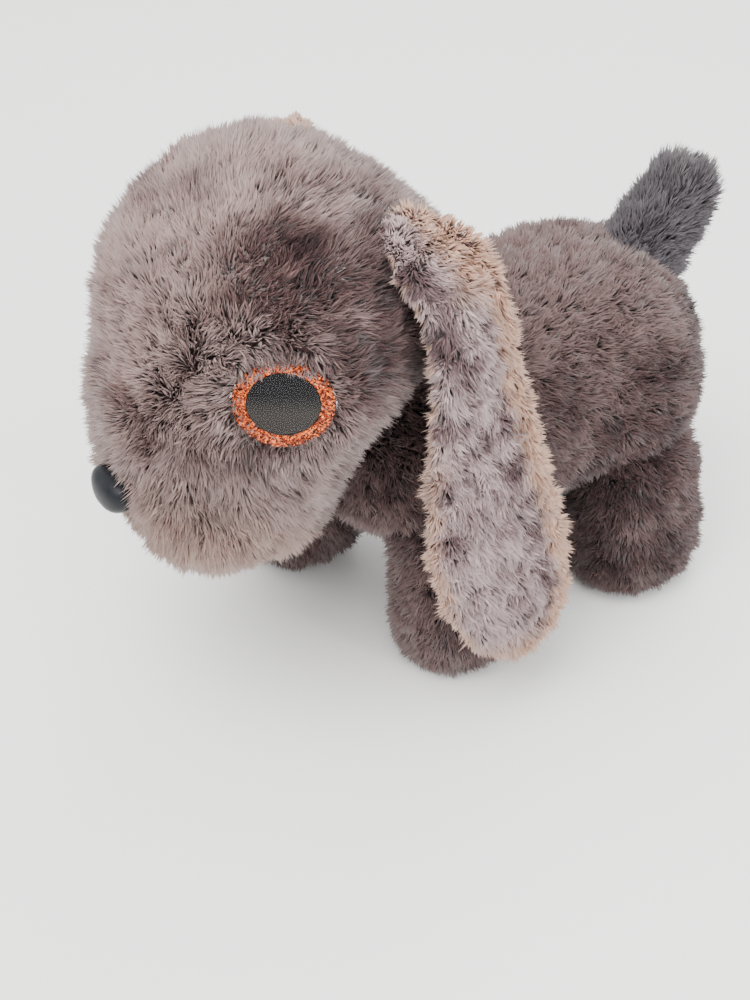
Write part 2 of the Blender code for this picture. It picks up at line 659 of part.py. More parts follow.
def tail_room():
    """The room the tail swings in, wider with distance from its root."""
    rings = []
    for along, radius in [(-10.0, 12.0)] + TAIL_SECTIONS[2:]:
        half_y = radius * MM + 1.5 * MM
        half_x = half_y + abs(along) * MM * math.sin(TAIL_SWING)
        rings.append([(x, y, along * MM) for x, y in oval(half_x, half_y, 2.0, 16)])
    shape = loft(rings, end_pole=(0, 0, TAIL_LENGTH + 4 * MM))
    return transformed(shape, TAIL_FRAME)


body = add_part("body_plush", body_shape(), "plush_body")
combine(body, body_shape(-PLUSH_WALL))
for end in HIP_Y:
    for side in SIDES:
        combine(body, hip_pocket(end, side))
for angle in (HEAD_UP, 0.0, HEAD_DOWN):
    combine(body, turn_about(head_shape(1.2 * MM), HEAD_PIVOT, "X", angle))
combine(body, tail_room())
combine(body, box((-4.4, -52.0, 86.0), (4.4, -33.0, 104.0)))
combine(body, box((-8.4, -17.5, 30.0), (8.4, 43.0, 50.0)))
combine(body, box((-8.4, 50.0, 30.0), (8.4, 62.0, 50.0)))


# --- head ----------------------------------------------------------------------------------
def eye_frame(side):
    """A frame on the head's surface: Z points straight out of the eye."""
    sign = SIDES[side]
    place = Vector((sign * EYE_CENTRE.x, EYE_CENTRE.y, EYE_CENTRE.z))
    out = Vector((sign * math.sin(EYE_TURN), -math.cos(EYE_TURN), 0.0))
    return Matrix.Translation(place) @ out.to_track_quat("Z", "Y").to_matrix().to_4x4()


def eye_rod(side, start, end, radius, segments=24):
    shape = rod((0, 0, start * MM), (0, 0, end * MM), radius, segments)
    return transformed(shape, eye_frame(side))


def eye_dome_shape(side):
    """A clear cap with a flat back and a round front."""
    rings = []
    for height, scale in ((1.7, 1.0), (2.9, 1.0), (4.6, 0.90), (6.0, 0.70), (6.9, 0.42)):
        rings.append([(x, y, height * MM) for x, y in oval(EYE_RADIUS * scale, EYE_RADIUS * scale, 2.0, 24)])
    return transformed(loft(rings, end_pole=(0, 0, 7.2 * MM)), eye_frame(side))


def nose_rod(start, end, radius, segments=14):
    along = Vector((0, MM, 0))
    return rod(NOSE_CENTRE + start * along, NOSE_CENTRE + end * along, radius, segments)


def nose_shape(grow=0.0):
    """A rounded soft triangle, wider at the top, set on the front of the muzzle."""
    rings = []
    for along, scale in ((0.0, 0.92), (-1.6, 1.0), (-3.6, 0.88), (-5.0, 0.58)):
        outline = oval(8.5 * MM * scale + grow, 6.2 * MM * scale + grow, 2.4, 18)
        ring = []
        for x, z in outline:
            narrow = 1.0 + 0.22 * z / (6.2 * MM)
            ring.append(NOSE_CENTRE + Vector((x * narrow, along * MM - grow if along else grow, z)))
        rings.append(ring)
    return loft(rings, end_pole=NOSE_CENTRE + Vector((0, -5.6 * MM - grow, 0)))


head = add_part("head_plush", head_shape(), "plush_head", "head")
combine(head, head_shape(-PLUSH_WALL))
stuffing = add_part("head_stuffing", head_shape(-PLUSH_WALL - 1.7 * MM), "stuffing", "head")
for part in (head, stuffing):
    combine(part, box((-9.0, -71.0, 84.0), (9.0, -10.0, 119.0)))
    for side in SIDES:
        combine(part, eye_rod(side, -18.5, 4.0, 2.5 * MM, 12))
    combine(part, nose_rod(0, 15, 2.5 * MM))
    for side in SIDES:
        combine(part, eye_rod(side, -0.4, 12.0, EYE_RADIUS + 0.5 * MM, 24))
for side in SIDES:
    combine(stuffing, eye_rod(side, -9.0, 0.0, 9.0 * MM, 20))
combine(head, nose_shape(0.4 * MM))
combine(stuffing, nose_rod(0, 9, 6.0 * MM, 16))

for side in SIDES:
    pupil = add_part("eye_" + side + "_pupil", eye_rod(side, 0.1, 1.35, 8.9 * MM, 24), "eye_black", "head")
    unite(pupil, eye_rod(side, -15.0, 0.6, 2.0 * MM, 14))
    ring = add_part("eye_" + side + "_glitter_ring", eye_rod(side, 0.1, 1.35, EYE_RADIUS), "eye_glitter",
                    "head")
    combine(ring, eye_rod(side, -1.0, 3.0, 9.25 * MM, 24))
    add_part("eye_" + side + "_dome", eye_dome_shape(side), "eye_clear", "head")
    washer = add_part("eye_" + side + "_washer", eye_rod(side, -8.2, -6.9, 7.0 * MM, 18), "white_plastic",
                      "head")
    combine(washer, eye_rod(side, -10.0, -5.0, 2.15 * MM, 14))

nose = add_part("nose", nose_shape(), "nose_black", "head")
unite(nose, nose_rod(-1, 12.5, 2.0 * MM))
washer = add_part("nose_washer", nose_rod(6.4, 7.7, 5.2 * MM, 16), "white_plastic", "head")
combine(washer, nose_rod(5, 9, 2.15 * MM))

pivot_y, pivot_z = HEAD_PIVOT.y, HEAD_PIVOT.z
bracket = add_part("neck_bracket", box((-8.0, -27.2, 80.0), (8.0, -25.35, 95.0)), "grey_plastic")
arm = [(-26.0, 83.0), (-26.0, 93.0), (-46.0, 109.0), (-52.0, 100.5)]
unite(bracket, plate([(y * MM, z * MM) for y, z in arm], "X", -2.9 * MM, 2.9 * MM))
unite(bracket, rod_x(pivot_y, pivot_z, -2.9 * MM, 2.9 * MM, 5.2 * MM, 16))
combine(bracket, rod_x(pivot_y, pivot_z, -5 * MM, 5 * MM, AXLE_RADIUS + 0.1 * MM))

fork = [(-5.6, -44.6), (-3.3, -44.6), (-3.3, -64.0), (3.3, -64.0), (3.3, -44.6), (5.6, -44.6), (5.6, -69.5),
        (-5.6, -69.5)]
fork_shape = plate([(x * MM, y * MM) for x, y in fork], "Z", 99.6 * MM, 110.4 * MM)
rocker = add_part("head_rocker", fork_shape, "grey_plastic", "head", smooth=False)
combine(rocker, rod_x(pivot_y, pivot_z, -8 * MM, 8 * MM, AXLE_RADIUS + 0.1 * MM))
add_part("neck_pin", rod_x(pivot_y, pivot_z, -7.4 * MM, 7.4 * MM, AXLE_RADIUS), "steel")

for side in SIDES:
    add_part("ear_" + side, ear_shape(side), "plush_ear", "ear_" + side)


# --- tail ----------------------------------------------------------------------------------
tail = add_part("tail_plush", tail_shape(), "plush_body", "tail")
combine(tail, tail_box((-13.5, -7.0, -20.0), (13.5, 7.0, 8.0)))
combine(tail, tail_box((-3.5, -2.1, 0.0), (3.5, 2.1, 33.0)))

lever = add_part("tail_lever", tail_box((-3.0, -1.7, 0.0), (3.0, 1.7, 32.4)), "grey_plastic", "tail")
unite(lever, tail_rod((0, -1.7, 0), (0, 1.7, 0), 4.6, 16))
combine(lever, tail_rod((0, -4, 0), (0, 4, 0), 1.45))
add_part("tail_pin", tail_rod((0, -5.6, 0), (0, 5.6, 0), 1.3), "steel")

tail_bracket = add_part("tail_bracket", box((-8.0, 49.85, 74.0), (8.0, 51.6, 88.0)), "grey_plastic")
unite(tail_bracket, box((-4.4, 51.0, 74.0), (4.4, 60.0, 79.5)))
for face in (-1, 1):
    inner_face, outer_face = sorted((face * 2.1, face * 4.3))
    unite(tail_bracket, tail_box((-4.4, inner_face, -16.0), (4.4, outer_face, 0.0)))
    unite(tail_bracket, tail_rod((0, inner_face, 0), (0, outer_face, 0), 4.4, 16))
combine(tail_bracket, tail_rod((0, -8, 0), (0, 8, 0), 1.4))


# --- battery door, switch and button -------------------------------------------------------
def door_rod(bottom, top, radius):
    return rod((0, DOOR_SCREW_Y, bottom * MM), (0, DOOR_SCREW_Y, top * MM), radius * MM, 12)


door_low = KEEL_BOTTOM / MM - 2.4
door = add_part("battery_door", box((-6.6, -15.6, door_low), (6.6, 42.0, door_low + 2.0)), "grey_plastic",
                "battery_door", smooth=False)
combine(door, door_rod(36, 46, 1.35))
combine(door, door_rod(36, door_low + 1.1, 2.4))
screw = add_part("door_screw", door_rod(door_low + 1.0, 50, 1.0), "steel", "battery_door")
unite(screw, door_rod(door_low + 0.15, door_low + 1.05, 2.1))
for half_x, half_y in ((1.4, 0.25), (0.25, 1.4)):
    combine(screw, box((-half_x, DOOR_SCREW_Y / MM - half_y, door_low - 1),
                       (half_x, DOOR_SCREW_Y / MM + half_y, door_low + 0.6)))

slider = add_part("switch_slider", box((-1.4, 53.1, 41.0), (1.4, 55.5, 47.6)), "white_plastic", "switch",
                  smooth=False)
unite(slider, box((-2.6, 52.6, 40.2), (2.6, 56.0, 42.2)))

button = rod(BUTTON_CENTRE - Vector((0, 0, 1.2 * MM)), BUTTON_CENTRE + Vector((0, 0, 3.2 * MM)), 3.0 * MM, 16)
add_part("back_button", button, "white_plastic", "button")
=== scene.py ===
import json
import math

import bmesh
import bpy
import numpy as np
from mathutils import Matrix, Vector, noise
from mathutils.bvhtree import BVHTree


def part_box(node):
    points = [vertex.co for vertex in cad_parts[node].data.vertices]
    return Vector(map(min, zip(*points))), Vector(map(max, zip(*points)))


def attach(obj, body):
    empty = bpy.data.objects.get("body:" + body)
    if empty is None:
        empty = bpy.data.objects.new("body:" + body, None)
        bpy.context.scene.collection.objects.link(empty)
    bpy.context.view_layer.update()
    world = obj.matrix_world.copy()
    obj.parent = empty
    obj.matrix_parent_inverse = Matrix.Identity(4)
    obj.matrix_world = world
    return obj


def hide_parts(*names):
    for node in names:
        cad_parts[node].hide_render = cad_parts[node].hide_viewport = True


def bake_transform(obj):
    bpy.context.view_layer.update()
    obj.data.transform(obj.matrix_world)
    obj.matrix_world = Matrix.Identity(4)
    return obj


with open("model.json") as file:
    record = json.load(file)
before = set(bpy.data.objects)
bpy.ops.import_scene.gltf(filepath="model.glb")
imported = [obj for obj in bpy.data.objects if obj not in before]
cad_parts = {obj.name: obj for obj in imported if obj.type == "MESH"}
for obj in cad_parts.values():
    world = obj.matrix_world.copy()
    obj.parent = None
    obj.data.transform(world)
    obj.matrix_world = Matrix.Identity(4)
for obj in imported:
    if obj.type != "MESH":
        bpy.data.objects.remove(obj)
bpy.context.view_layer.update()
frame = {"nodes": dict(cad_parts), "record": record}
nodes = frame["nodes"]

mm = 0.001
sides = {"left": 1, "right": -1}

# sizes below are millimetres from a point under the shoulders; the head's box says where that point is
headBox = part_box("head_plush")
drawnFrom = Vector((0, headBox[0].y + 115 * mm, headBox[1].z - 171 * mm))


def at(x, y, z):
    return drawnFrom + Vector((x, y, z)) * mm


def levelOf(z):
    return at(0, 0, z).z


def alongOf(y):
    return at(0, y, 0).y


def addObject(name, data, material=None):
    piece = bpy.data.objects.new(name, data)
    bpy.context.scene.collection.objects.link(piece)
    if material is not None:
        data.materials.clear()
        data.materials.append(material)
    return piece


def give(socket, value):
    # a link from another node, or a plain value
    if isinstance(value, bpy.types.NodeSocket):
        socket.id_data.links.new(value, socket)
    elif socket.type == "RGBA" and len(value) == 3:
        socket.default_value = (*value, 1)
    else:
        socket.default_value = value


def newMaterial(name, roughness=0.5, metallic=0.0):
    material = bpy.data.materials.new(name)
    material.use_nodes = True
    shader = material.node_tree.nodes["Principled BSDF"]
    shader.inputs["Roughness"].default_value = roughness
    shader.inputs["Metallic"].default_value = metallic
    return material, material.node_tree, shader


# camera, floor and light
view = {
    "lens": 58.2,                     # mm on a 36 mm frame
    "lookAt": (-7.9, -12.2, 32.3),    # mm in the part's own frame
    "azimuth": 56.4,                  # degrees round from the front
    "elevation": 37.9,
    "distance": 502.3,                # mm
    "floor": (0.97, 0.97, 0.965),
    "floorHalf": 6.0,                 # metres
    "sky": 1.75,
    "skyColour": (1.0, 0.99, 0.98),
    # azimuth, elevation, distance and size in metres, watts, colour
    "lamps": {
        "keyLight": (20, 62, 1.1, 0.9, 15.0, (1.0, 0.985, 0.96)),
        "fillLight": (110, 30, 1.3, 1.0, 4.5, (0.97, 0.98, 1.0)),
        "backLight": (215, 50, 1.3, 0.8, 5.0, (1.0, 1.0, 1.0)),
        "glintLight": (103, 16.4, 0.9, 0.09, 1.6, (1.0, 1.0, 1.0)),   # mirrored by the domes of the eyes
    },
    "lampsAimAt": (0, 0, 80),
}


def outwards(azimuth, elevation):
    a, e = math.radians(azimuth), math.radians(elevation)
    return Vector((math.sin(a) * math.cos(e), -math.cos(a) * math.cos(e), math.sin(e)))


def addAreaLight(name, azimuth, elevation, distance, size, power, colour):
    data = bpy.data.lights.new(name, "AREA")
    data.shape = "DISK"
    data.size = size
    data.energy = power
    data.color = colour
    lamp = addObject(name, data)
    out = outwards(azimuth, elevation)
    lamp.location = Vector(view["lampsAimAt"]) * mm + out * distance
    lamp.rotation_euler = (-out).to_track_quat("-Z", "Y").to_euler()


def setStage():
    cameraData = bpy.data.cameras.new("camera")
    cameraData.lens = view["lens"]
    cameraData.clip_start = 0.01
    camera = addObject("camera", cameraData)
    out = outwards(view["azimuth"], view["elevation"])
    camera.location = (Vector(view["lookAt"]) + out * view["distance"]) * mm
    camera.rotation_euler = (-out).to_track_quat("-Z", "Y").to_euler()
    bpy.context.scene.camera = camera

    floorMesh = bpy.data.meshes.new("floor")
    half = view["floorHalf"]
    corners = [(-half, -half, 0), (half, -half, 0), (half, half, 0), (-half, half, 0)]
    floorMesh.from_pydata(corners, [], [(0, 1, 2, 3)])
    paper, _, shader = newMaterial("palePaper", 0.95)
    give(shader.inputs["Base Color"], view["floor"])
    floor = addObject("floor", floorMesh, paper)

    world = bpy.data.worlds.new("studio")
    world.use_nodes = True
    background = world.node_tree.nodes["Background"]
    give(background.inputs["Color"], view["skyColour"])
    give(background.inputs["Strength"], view["sky"])
    bpy.context.scene.world = world
    for name, settings in view["lamps"].items():
        addAreaLight(name, *settings)


setStage()
print("stage set")


# material helpers
def addNode(tree, kind, *sources, **values):
    # sources go to its first inputs in turn; values go to inputs or settings by name
    node = tree.nodes.new(kind)
    for name, value in values.items():
        if name in node.inputs:
            give(node.inputs[name], value)
        else:
            setattr(node, name, value)
    for socket, value in zip(node.inputs, sources):
        give(socket, value)
    return node


def addRamp(tree, source, stops):
    ramp = addNode(tree, "ShaderNodeValToRGB", source)
    elements = ramp.color_ramp.elements
    while len(elements) < len(stops):
        elements.new(0.5)
    for element, (place, colour) in zip(elements, stops):
        element.position = place
        element.color = (*colour, 1)
    return ramp.outputs["Color"]


def scaledColour(colour, amount):
    return tuple(amount * part for part in colour)


def mixColours(tree, amount, first, second):
    mix = addNode(tree, "ShaderNodeMix", amount, data_type="RGBA")
    give(mix.inputs[6], first)
    give(mix.inputs[7], second)
    return mix.outputs[2]


def shaderGroup(name, inputs, outputs):
    # an effect that several materials share, each with its own values
    tree = bpy.data.node_groups.new(name, "ShaderNodeTree")
    kinds = {1: "NodeSocketFloat", 3: "NodeSocketVector", 4: "NodeSocketColor"}
    for title, value in inputs.items():
        kind = kinds[len(value) if isinstance(value, tuple) else 1]
        tree.interface.new_socket(title, in_out="INPUT", socket_type=kind).default_value = value
    for title, kind in outputs.items():
        tree.interface.new_socket(title, in_out="OUTPUT", socket_type=kind)
    return tree, tree.nodes.new("NodeGroupInput").outputs, tree.nodes.new("NodeGroupOutput").inputs


def placeGroup(tree, group, values):
    return addNode(tree, "ShaderNodeGroup", node_tree=group, **values).outputs


def mapRange(tree, *values):
    # value, its lowest and highest, and what they become
    return addNode(tree, "ShaderNodeMapRange", *values).outputs[0]


def grainGroup():
    # fine uneven grain of a moulded, knitted or drawn surface
    dark, light = (0.1, 0.1, 0.1, 1), (0.2, 0.2, 0.2, 1)
    tree, given, result = shaderGroup("fineGrain", {
        "Vector": (0.0, 0.0, 0.0), "Size": 0.001, "Detail": 4.0,
        "Dark": dark, "Light": light, "Low": 0.3, "High": 0.7,
        "Smoothest": 0.3, "Roughest": 0.5, "Bump Strength": 0.12, "Bump Depth": 0.0002,
    }, {"Colour": "NodeSocketColor", "Roughness": "NodeSocketFloat", "Normal": "NodeSocketVector"})
    scale = addNode(tree, "ShaderNodeMath", 1.0, given["Size"], operation="DIVIDE").outputs[0]
    speckle = addNode(tree, "ShaderNodeTexNoise", Vector=given["Vector"], Scale=scale,
                      Detail=given["Detail"]).outputs["Fac"]
    amount = mapRange(tree, speckle, given["Low"], given["High"])
    give(result["Colour"], mixColours(tree, amount, given["Dark"], given["Light"]))
    give(result["Roughness"], mapRange(tree, speckle, 0.0, 1.0, given["Smoothest"], given["Roughest"]))
    bump = addNode(tree, "ShaderNodeBump", Strength=given["Bump Strength"], Distance=given["Bump Depth"],
                   Height=speckle)
    give(result["Normal"], bump.outputs["Normal"])
    return tree


def fibreGroup():
    # colour along a fibre; paler tufts turn pale lower down, and lining fibres are warm
    plain = (0.2, 0.2, 0.2, 1)
    colours = {"Root": plain, "Middle": plain, "Tip": plain, "Warm Edge": plain}
    tree, given, result = shaderGroup("fibreColour", colours, {"Colour": "NodeSocketColor"})
    along, tone, warm = [addNode(tree, "ShaderNodeAttribute", attribute_name=name).outputs["Fac"]
                         for name in ("along", "tone", "warm")]
    total = addNode(tree, "ShaderNodeMath", along, tone, operation="ADD").outputs[0]
    shifted = addNode(tree, "ShaderNodeMath", total, 0.5, operation="SUBTRACT")
    place, turning = shifted.outputs[0], 0.42
    lower = mixColours(tree, mapRange(tree, place, 0.0, turning), given["Root"], given["Middle"])
    whole = mixColours(tree, mapRange(tree, place, turning, 1.0), lower, given["Tip"])
    give(result["Colour"], mixColours(tree, warm, whole, given["Warm Edge"]))
    return tree


fineGrain = grainGroup()
fibreColour = fibreGroup()


# shapes
def oval(halfA, halfB, power, count):
    outline = []
    for i in range(count):
        angle = 2 * math.pi * i / count
        c, s = math.cos(angle), math.sin(angle)
        outline.append((math.copysign(halfA * abs(c) ** (2 / power), c),
                        math.copysign(halfB * abs(s) ** (2 / power), s)))
    return outline


def joinLoops(shape, lower, upper):
    for i in range(len(lower)):
        j = (i + 1) % len(lower)
        shape.faces.new((lower[i], lower[j], upper[j], upper[i]))


def finishedShape(name, shape):
    bmesh.ops.recalc_face_normals(shape, faces=shape.faces)
    mesh = bpy.data.meshes.new(name)
    shape.to_mesh(mesh)
    shape.free()
    return mesh


def loftMesh(name, rings, startPole, endPole):
    shape = bmesh.new()
    loops = [[shape.verts.new(point) for point in ring] for ring in rings]
    for lower, upper in zip(loops, loops[1:]):
        joinLoops(shape, lower, upper)
    for loop, pole in ((loops[0], startPole), (loops[-1], endPole)):
        tip = shape.verts.new(pole)
        for i in range(len(loop)):
            shape.faces.new((loop[i], loop[(i + 1) % len(loop)], tip))
    return finishedShape(name, shape)


def finishedMesh(piece):
    # the piece with its modifiers applied, as a plain mesh of its own
    bpy.context.view_layer.update()
    graph = bpy.context.evaluated_depsgraph_get()
    final = piece.evaluated_get(graph)
    mesh = bpy.data.meshes.new_from_object(final, preserve_all_data_layers=True, depsgraph=graph)
    piece.modifiers.clear()
    old = piece.data
    piece.data = mesh
    mesh.name = piece.name
    if old.users == 0:
        bpy.data.meshes.remove(old)
    return piece


def smoothed(piece, levels=2):
    modifier = piece.modifiers.new("smooth", "SUBSURF")
    modifier.levels = modifier.render_levels = levels
    finishedMesh(piece)
    piece.data.shade_smooth()
    return piece


def points(mesh):
    co = np.empty(len(mesh.vertices) * 3)
    mesh.vertices.foreach_get("co", co)
    return co.reshape(-1, 3)


def normals(mesh):
    out = np.empty(len(mesh.vertices) * 3)
    mesh.vertices.foreach_get("normal", out)
    return out.reshape(-1, 3)


def setPoints(mesh, co):
    mesh.vertices.foreach_set("co", np.ascontiguousarray(co, float).ravel())
    mesh.update()


def pullIn(piece, depth):
    # moves the skin in from the tips of the pile to its backing
    mesh = piece.data
    setPoints(mesh, points(mesh) - normals(mesh) * np.asarray(depth).reshape(-1, 1))
    return piece


cloth = {"pressure": 4.0, "steps": 20, "quality": 4, "tension": 12, "bending": 0.4}


def puff(piece, cap):
    # fills the sewn skin like stuffing does, and caps how far a point may move
    scene = bpy.context.scene
    start = points(piece.data)
    filling = piece.modifiers.new("stuffing", "CLOTH")
    settings = filling.settings
    settings.quality = cloth["quality"]
    settings.use_pressure = True
    settings.uniform_pressure_force = cloth["pressure"]
    settings.effector_weights.gravity = 0
    settings.tension_stiffness = cloth["tension"]
    settings.bending_stiffness = cloth["bending"]
    filling.point_cache.frame_start = 1
    filling.point_cache.frame_end = cloth["steps"]
    for number in range(1, cloth["steps"] + 1):
        scene.frame_set(number)
    finishedMesh(piece)
    scene.frame_set(1)
    moved = points(piece.data) - start
    length = np.linalg.norm(moved, axis=1, keepdims=True)
    moved *= np.minimum(1, cap / np.maximum(length, 1e-9))
    setPoints(piece.data, start + np.nan_to_num(moved))
    piece.data.shade_smooth()
    return piece


def setAttribute(mesh, name, values):
    values = np.asarray(values, np.float32)
    kind = "FLOAT_VECTOR" if values.ndim == 2 else "FLOAT"
    attribute = mesh.attributes.get(name) or mesh.attributes.new(name, kind, "POINT")
    attribute.data.foreach_set("vector" if values.ndim == 2 else "value", values.ravel())


def readAttribute(mesh, name):
    out = np.empty(len(mesh.vertices), np.float32)
    mesh.attributes[name].data.foreach_get("value", out)
    return out


def ramp(value, low, high):
    t = np.clip((value - low) / (high - low), 0, 1)
    return t * t * (3 - 2 * t)


def lumps(co, size, height, seed):
    # soft uneven swell, the same each run
    shift = Vector((seed * 3.1, seed * 1.7, seed * 5.3))
    return np.array([noise.noise(Vector(p) / size + shift) for p in co]) * height


# plush colours
plushPalette = {
    # root, middle and tip of the pile; linear colour
    "head": {"root": (0.016, 0.005, 0.007), "middle": (0.098, 0.049, 0.048), "tip": (0.35, 0.252, 0.238)},
    "ear": {"root": (0.036, 0.016, 0.020), "middle": (0.170, 0.100, 0.105), "tip": (0.52, 0.400, 0.398)},
    "body": {"root": (0.009, 0.003, 0.004), "middle": (0.044, 0.018, 0.019), "tip": (0.175, 0.112, 0.107)},
    "tail": {"root": (0.007, 0.005, 0.007), "middle": (0.024, 0.019, 0.024), "tip": (0.115, 0.103, 0.117)},
}


liningColour = (0.62, 0.37, 0.25)


def plushMaterial(name, palette):
    material, tree, shader = newMaterial(name, 0.85)
    colours = {"Root": palette["root"], "Middle": palette["middle"], "Tip": palette["tip"],
               "Warm Edge": liningColour}
    give(shader.inputs["Base Color"], placeGroup(tree, fibreColour, colours)["Colour"])
    feel = {"Sheen Weight": 0.25, "Sheen Roughness": 0.5, "Sheen Tint": (0.9, 0.86, 0.84),
            "Specular IOR Level": 0.25}
    for title, value in feel.items():
        give(shader.inputs[title], value)
    return material


def useGrain(tree, shader, values):
    # lays the shared grain on a material, over the object's own coordinates unless others are given
    if "Vector" not in values:
        values = {**values, "Vector": addNode(tree, "ShaderNodeTexCoord").outputs["Object"]}
    grain = placeGroup(tree, fineGrain, values)
    for title, output in (("Base Color", "Colour"), ("Roughness", "Roughness"), ("Normal", "Normal")):
        give(shader.inputs[title], grain[output])
    return grain


def backingMaterial(name, palette):
    # knitted backing at the roots of the pile
    material, tree, shader = newMaterial(name, 0.95)
    useGrain(tree, shader, {
        "Size": 0.0011, "Detail": 3.0, "Dark": palette["root"], "Light": palette["middle"],
        "Low": 0.3, "High": 0.75, "Smoothest": 0.9, "Roughest": 1.0,
        "Bump Strength": 0.5, "Bump Depth": 0.0004,
    })
    return material


pileMaterials = {name: plushMaterial(name + "Pile", colours) for name, colours in plushPalette.items()}
backings = {name: backingMaterial(name + "Backing", colours) for name, colours in plushPalette.items()}


# pile, grown with geometry nodes
def pileTree():
    tree = bpy.data.node_groups.new("growPile", "GeometryNodeTree")
    face = tree.interface
    face.new_socket("Skin", in_out="INPUT", socket_type="NodeSocketGeometry")
    sizes = {"Density": 2e6, "Length": 0.008, "Thickness": 0.0004, "Lean": 0.6, "Tuft Size": 0.005,
             "Tuft Strength": 0.8, "Stray": 0.25, "Curl": 0.3, "Patch Size": 0.02}
    for name, value in sizes.items():
        face.new_socket(name, in_out="INPUT", socket_type="NodeSocketFloat").default_value = value
    face.new_socket("Seed", in_out="INPUT", socket_type="NodeSocketInt").default_value = 1
    face.new_socket("Fibre Material", in_out="INPUT", socket_type="NodeSocketMaterial")
    face.new_socket("Pile", in_out="OUTPUT", socket_type="NodeSocketGeometry")
    result = addNode(tree, "NodeGroupOutput").inputs
    given = addNode(tree, "NodeGroupInput").outputs

    def add(kind, *sources, **values):
        return addNode(tree, kind, *sources, **values)

    def maths(operation, *values):
        return add("ShaderNodeMath", *values, operation=operation).outputs[0]

    def vectors(operation, *values):
        return add("ShaderNodeVectorMath", *values, operation=operation).outputs[0]

    def scaled(vector, amount):
        return add("ShaderNodeVectorMath", vector, operation="SCALE", Scale=amount).outputs[0]

    def combined(x, y, z):
        return add("ShaderNodeCombineXYZ", x, y, z).outputs[0]

    def named(name, kind="FLOAT"):
        return add("GeometryNodeInputNamedAttribute", data_type=kind, Name=name).outputs[0]

    def noted(geometry, name, value, domain):
        return add("GeometryNodeStoreNamedAttribute", data_type="FLOAT", domain=domain,
                   Geometry=geometry, Name=name, Value=value).outputs[0]

    def position():
        return add("GeometryNodeInputPosition").outputs[0]

    def field(vector, size, detail, offset):
        return add("ShaderNodeTexNoise", Detail=detail, Vector=vectors("ADD", vector, offset),
                   Scale=maths("DIVIDE", 1.0, size)).outputs

    def chance(low, high, seedAdd, kind="FLOAT"):
        node = add("FunctionNodeRandomValue", data_type=kind, Seed=maths("ADD", given["Seed"], seedAdd))
        wanted = [s for s in node.inputs if s.enabled and s.name in ("Min", "Max")]
        wanted[0].default_value, wanted[1].default_value = low, high
        return [s for s in node.outputs if s.enabled][0]

    # one fibre: a closed four-faced leaf, widest below its middle and slightly bent
    cone = add("GeometryNodeMeshCone", fill_type="NGON", Vertices=3, Depth=1.0,
               **{"Side Segments": 1, "Radius Top": 0.0, "Radius Bottom": 0.5})
    split = add("ShaderNodeSeparateXYZ", position()).outputs
    isMiddle = maths("LESS_THAN", split["X"], -0.01)
    height = maths("MULTIPLY_ADD", isMiddle, 0.45, split["Z"])
    corner = combined(maths("MULTIPLY", isMiddle, -0.75), maths("MULTIPLY", split["Y"], 1.15), height)
    shaped = add("GeometryNodeSetPosition", Geometry=cone.outputs["Mesh"], Position=corner).outputs[0]
    marked = noted(shaped, "along", height, "POINT")

    # roots, spread over the skin
    roots = add("GeometryNodeDistributePointsOnFaces", distribute_method="RANDOM", Mesh=given["Skin"],
                Density=maths("MULTIPLY", given["Density"], named("cover")), Seed=given["Seed"])
    where = position()
    normal = roots.outputs["Normal"]

    # the lie of the pile: combed, and gathered into tufts
    tuft = field(where, given["Tuft Size"], 1.0, (0.31, 0.17, 0.53))
    gather = vectors("SUBTRACT", tuft["Color"], (0.5, 0.5, 0.5))
    stray = chance((-1, -1, -1), (1, 1, 1), 11, "FLOAT_VECTOR")
    lie = vectors("ADD", scaled(named("comb", "FLOAT_VECTOR"), given["Lean"]), normal)
    lie = vectors("ADD", lie, scaled(gather, maths("MULTIPLY", given["Tuft Strength"], 4.0)))
    lie = vectors("ADD", lie, scaled(stray, given["Stray"]))
    lie = vectors("NORMALIZE", lie)
    upright = add("FunctionNodeAlignRotationToVector", axis="Z", Vector=lie).outputs[0]
    turn = combined(0.0, 0.0, chance(0.0, 6.283, 5))
    spin = add("FunctionNodeRotateRotation", rotation_space="LOCAL", Rotation=upright, **{"Rotate By": turn})

    # patches of deeper and shallower tone, and each fibre's own
    patch = field(where, given["Patch Size"], 2.0, (0.7, 0.2, 0.9))["Fac"]
    tone = maths("ADD", maths("MULTIPLY_ADD", maths("SUBTRACT", patch, 0.5), 1.3, 0.5), named("shade"))
    tone = maths("ADD", tone, chance(-0.16, 0.16, 7))
    long = maths("MULTIPLY", given["Length"], named("pile"))
    long = maths("MULTIPLY", long, chance(0.72, 1.12, 3))
    thick = maths("MULTIPLY", given["Thickness"], chance(0.7, 1.3, 9))

    last = add("GeometryNodeInstanceOnPoints", Points=roots.outputs["Points"], Instance=marked,
               Rotation=spin.outputs[0], Scale=combined(thick, thick, long)).outputs[0]
    for name, value in (("tone", tone), ("warm", named("warmth"))):
        last = noted(last, name, value, "INSTANCE")
    last = add("GeometryNodeRealizeInstances", last).outputs[0]
    last = add("GeometryNodeSetShadeSmooth", Geometry=last).outputs[0]
    curl = field(position(), 0.004, 1.0, (0.1, 0.4, 0.6))
    sway = vectors("SUBTRACT", curl["Color"], (0.5, 0.5, 0.5))
    reach = maths("MULTIPLY", maths("POWER", named("along"), 2.0), given["Curl"])
    bend = scaled(sway, maths("MULTIPLY", reach, given["Length"]))
    last = add("GeometryNodeSetPosition", Geometry=last, Offset=bend).outputs[0]
    last = add("GeometryNodeSetMaterial", Geometry=last, Material=given["Fibre Material"]).outputs[0]
    give(result[0], last)
    return tree


pileGrower = pileTree()


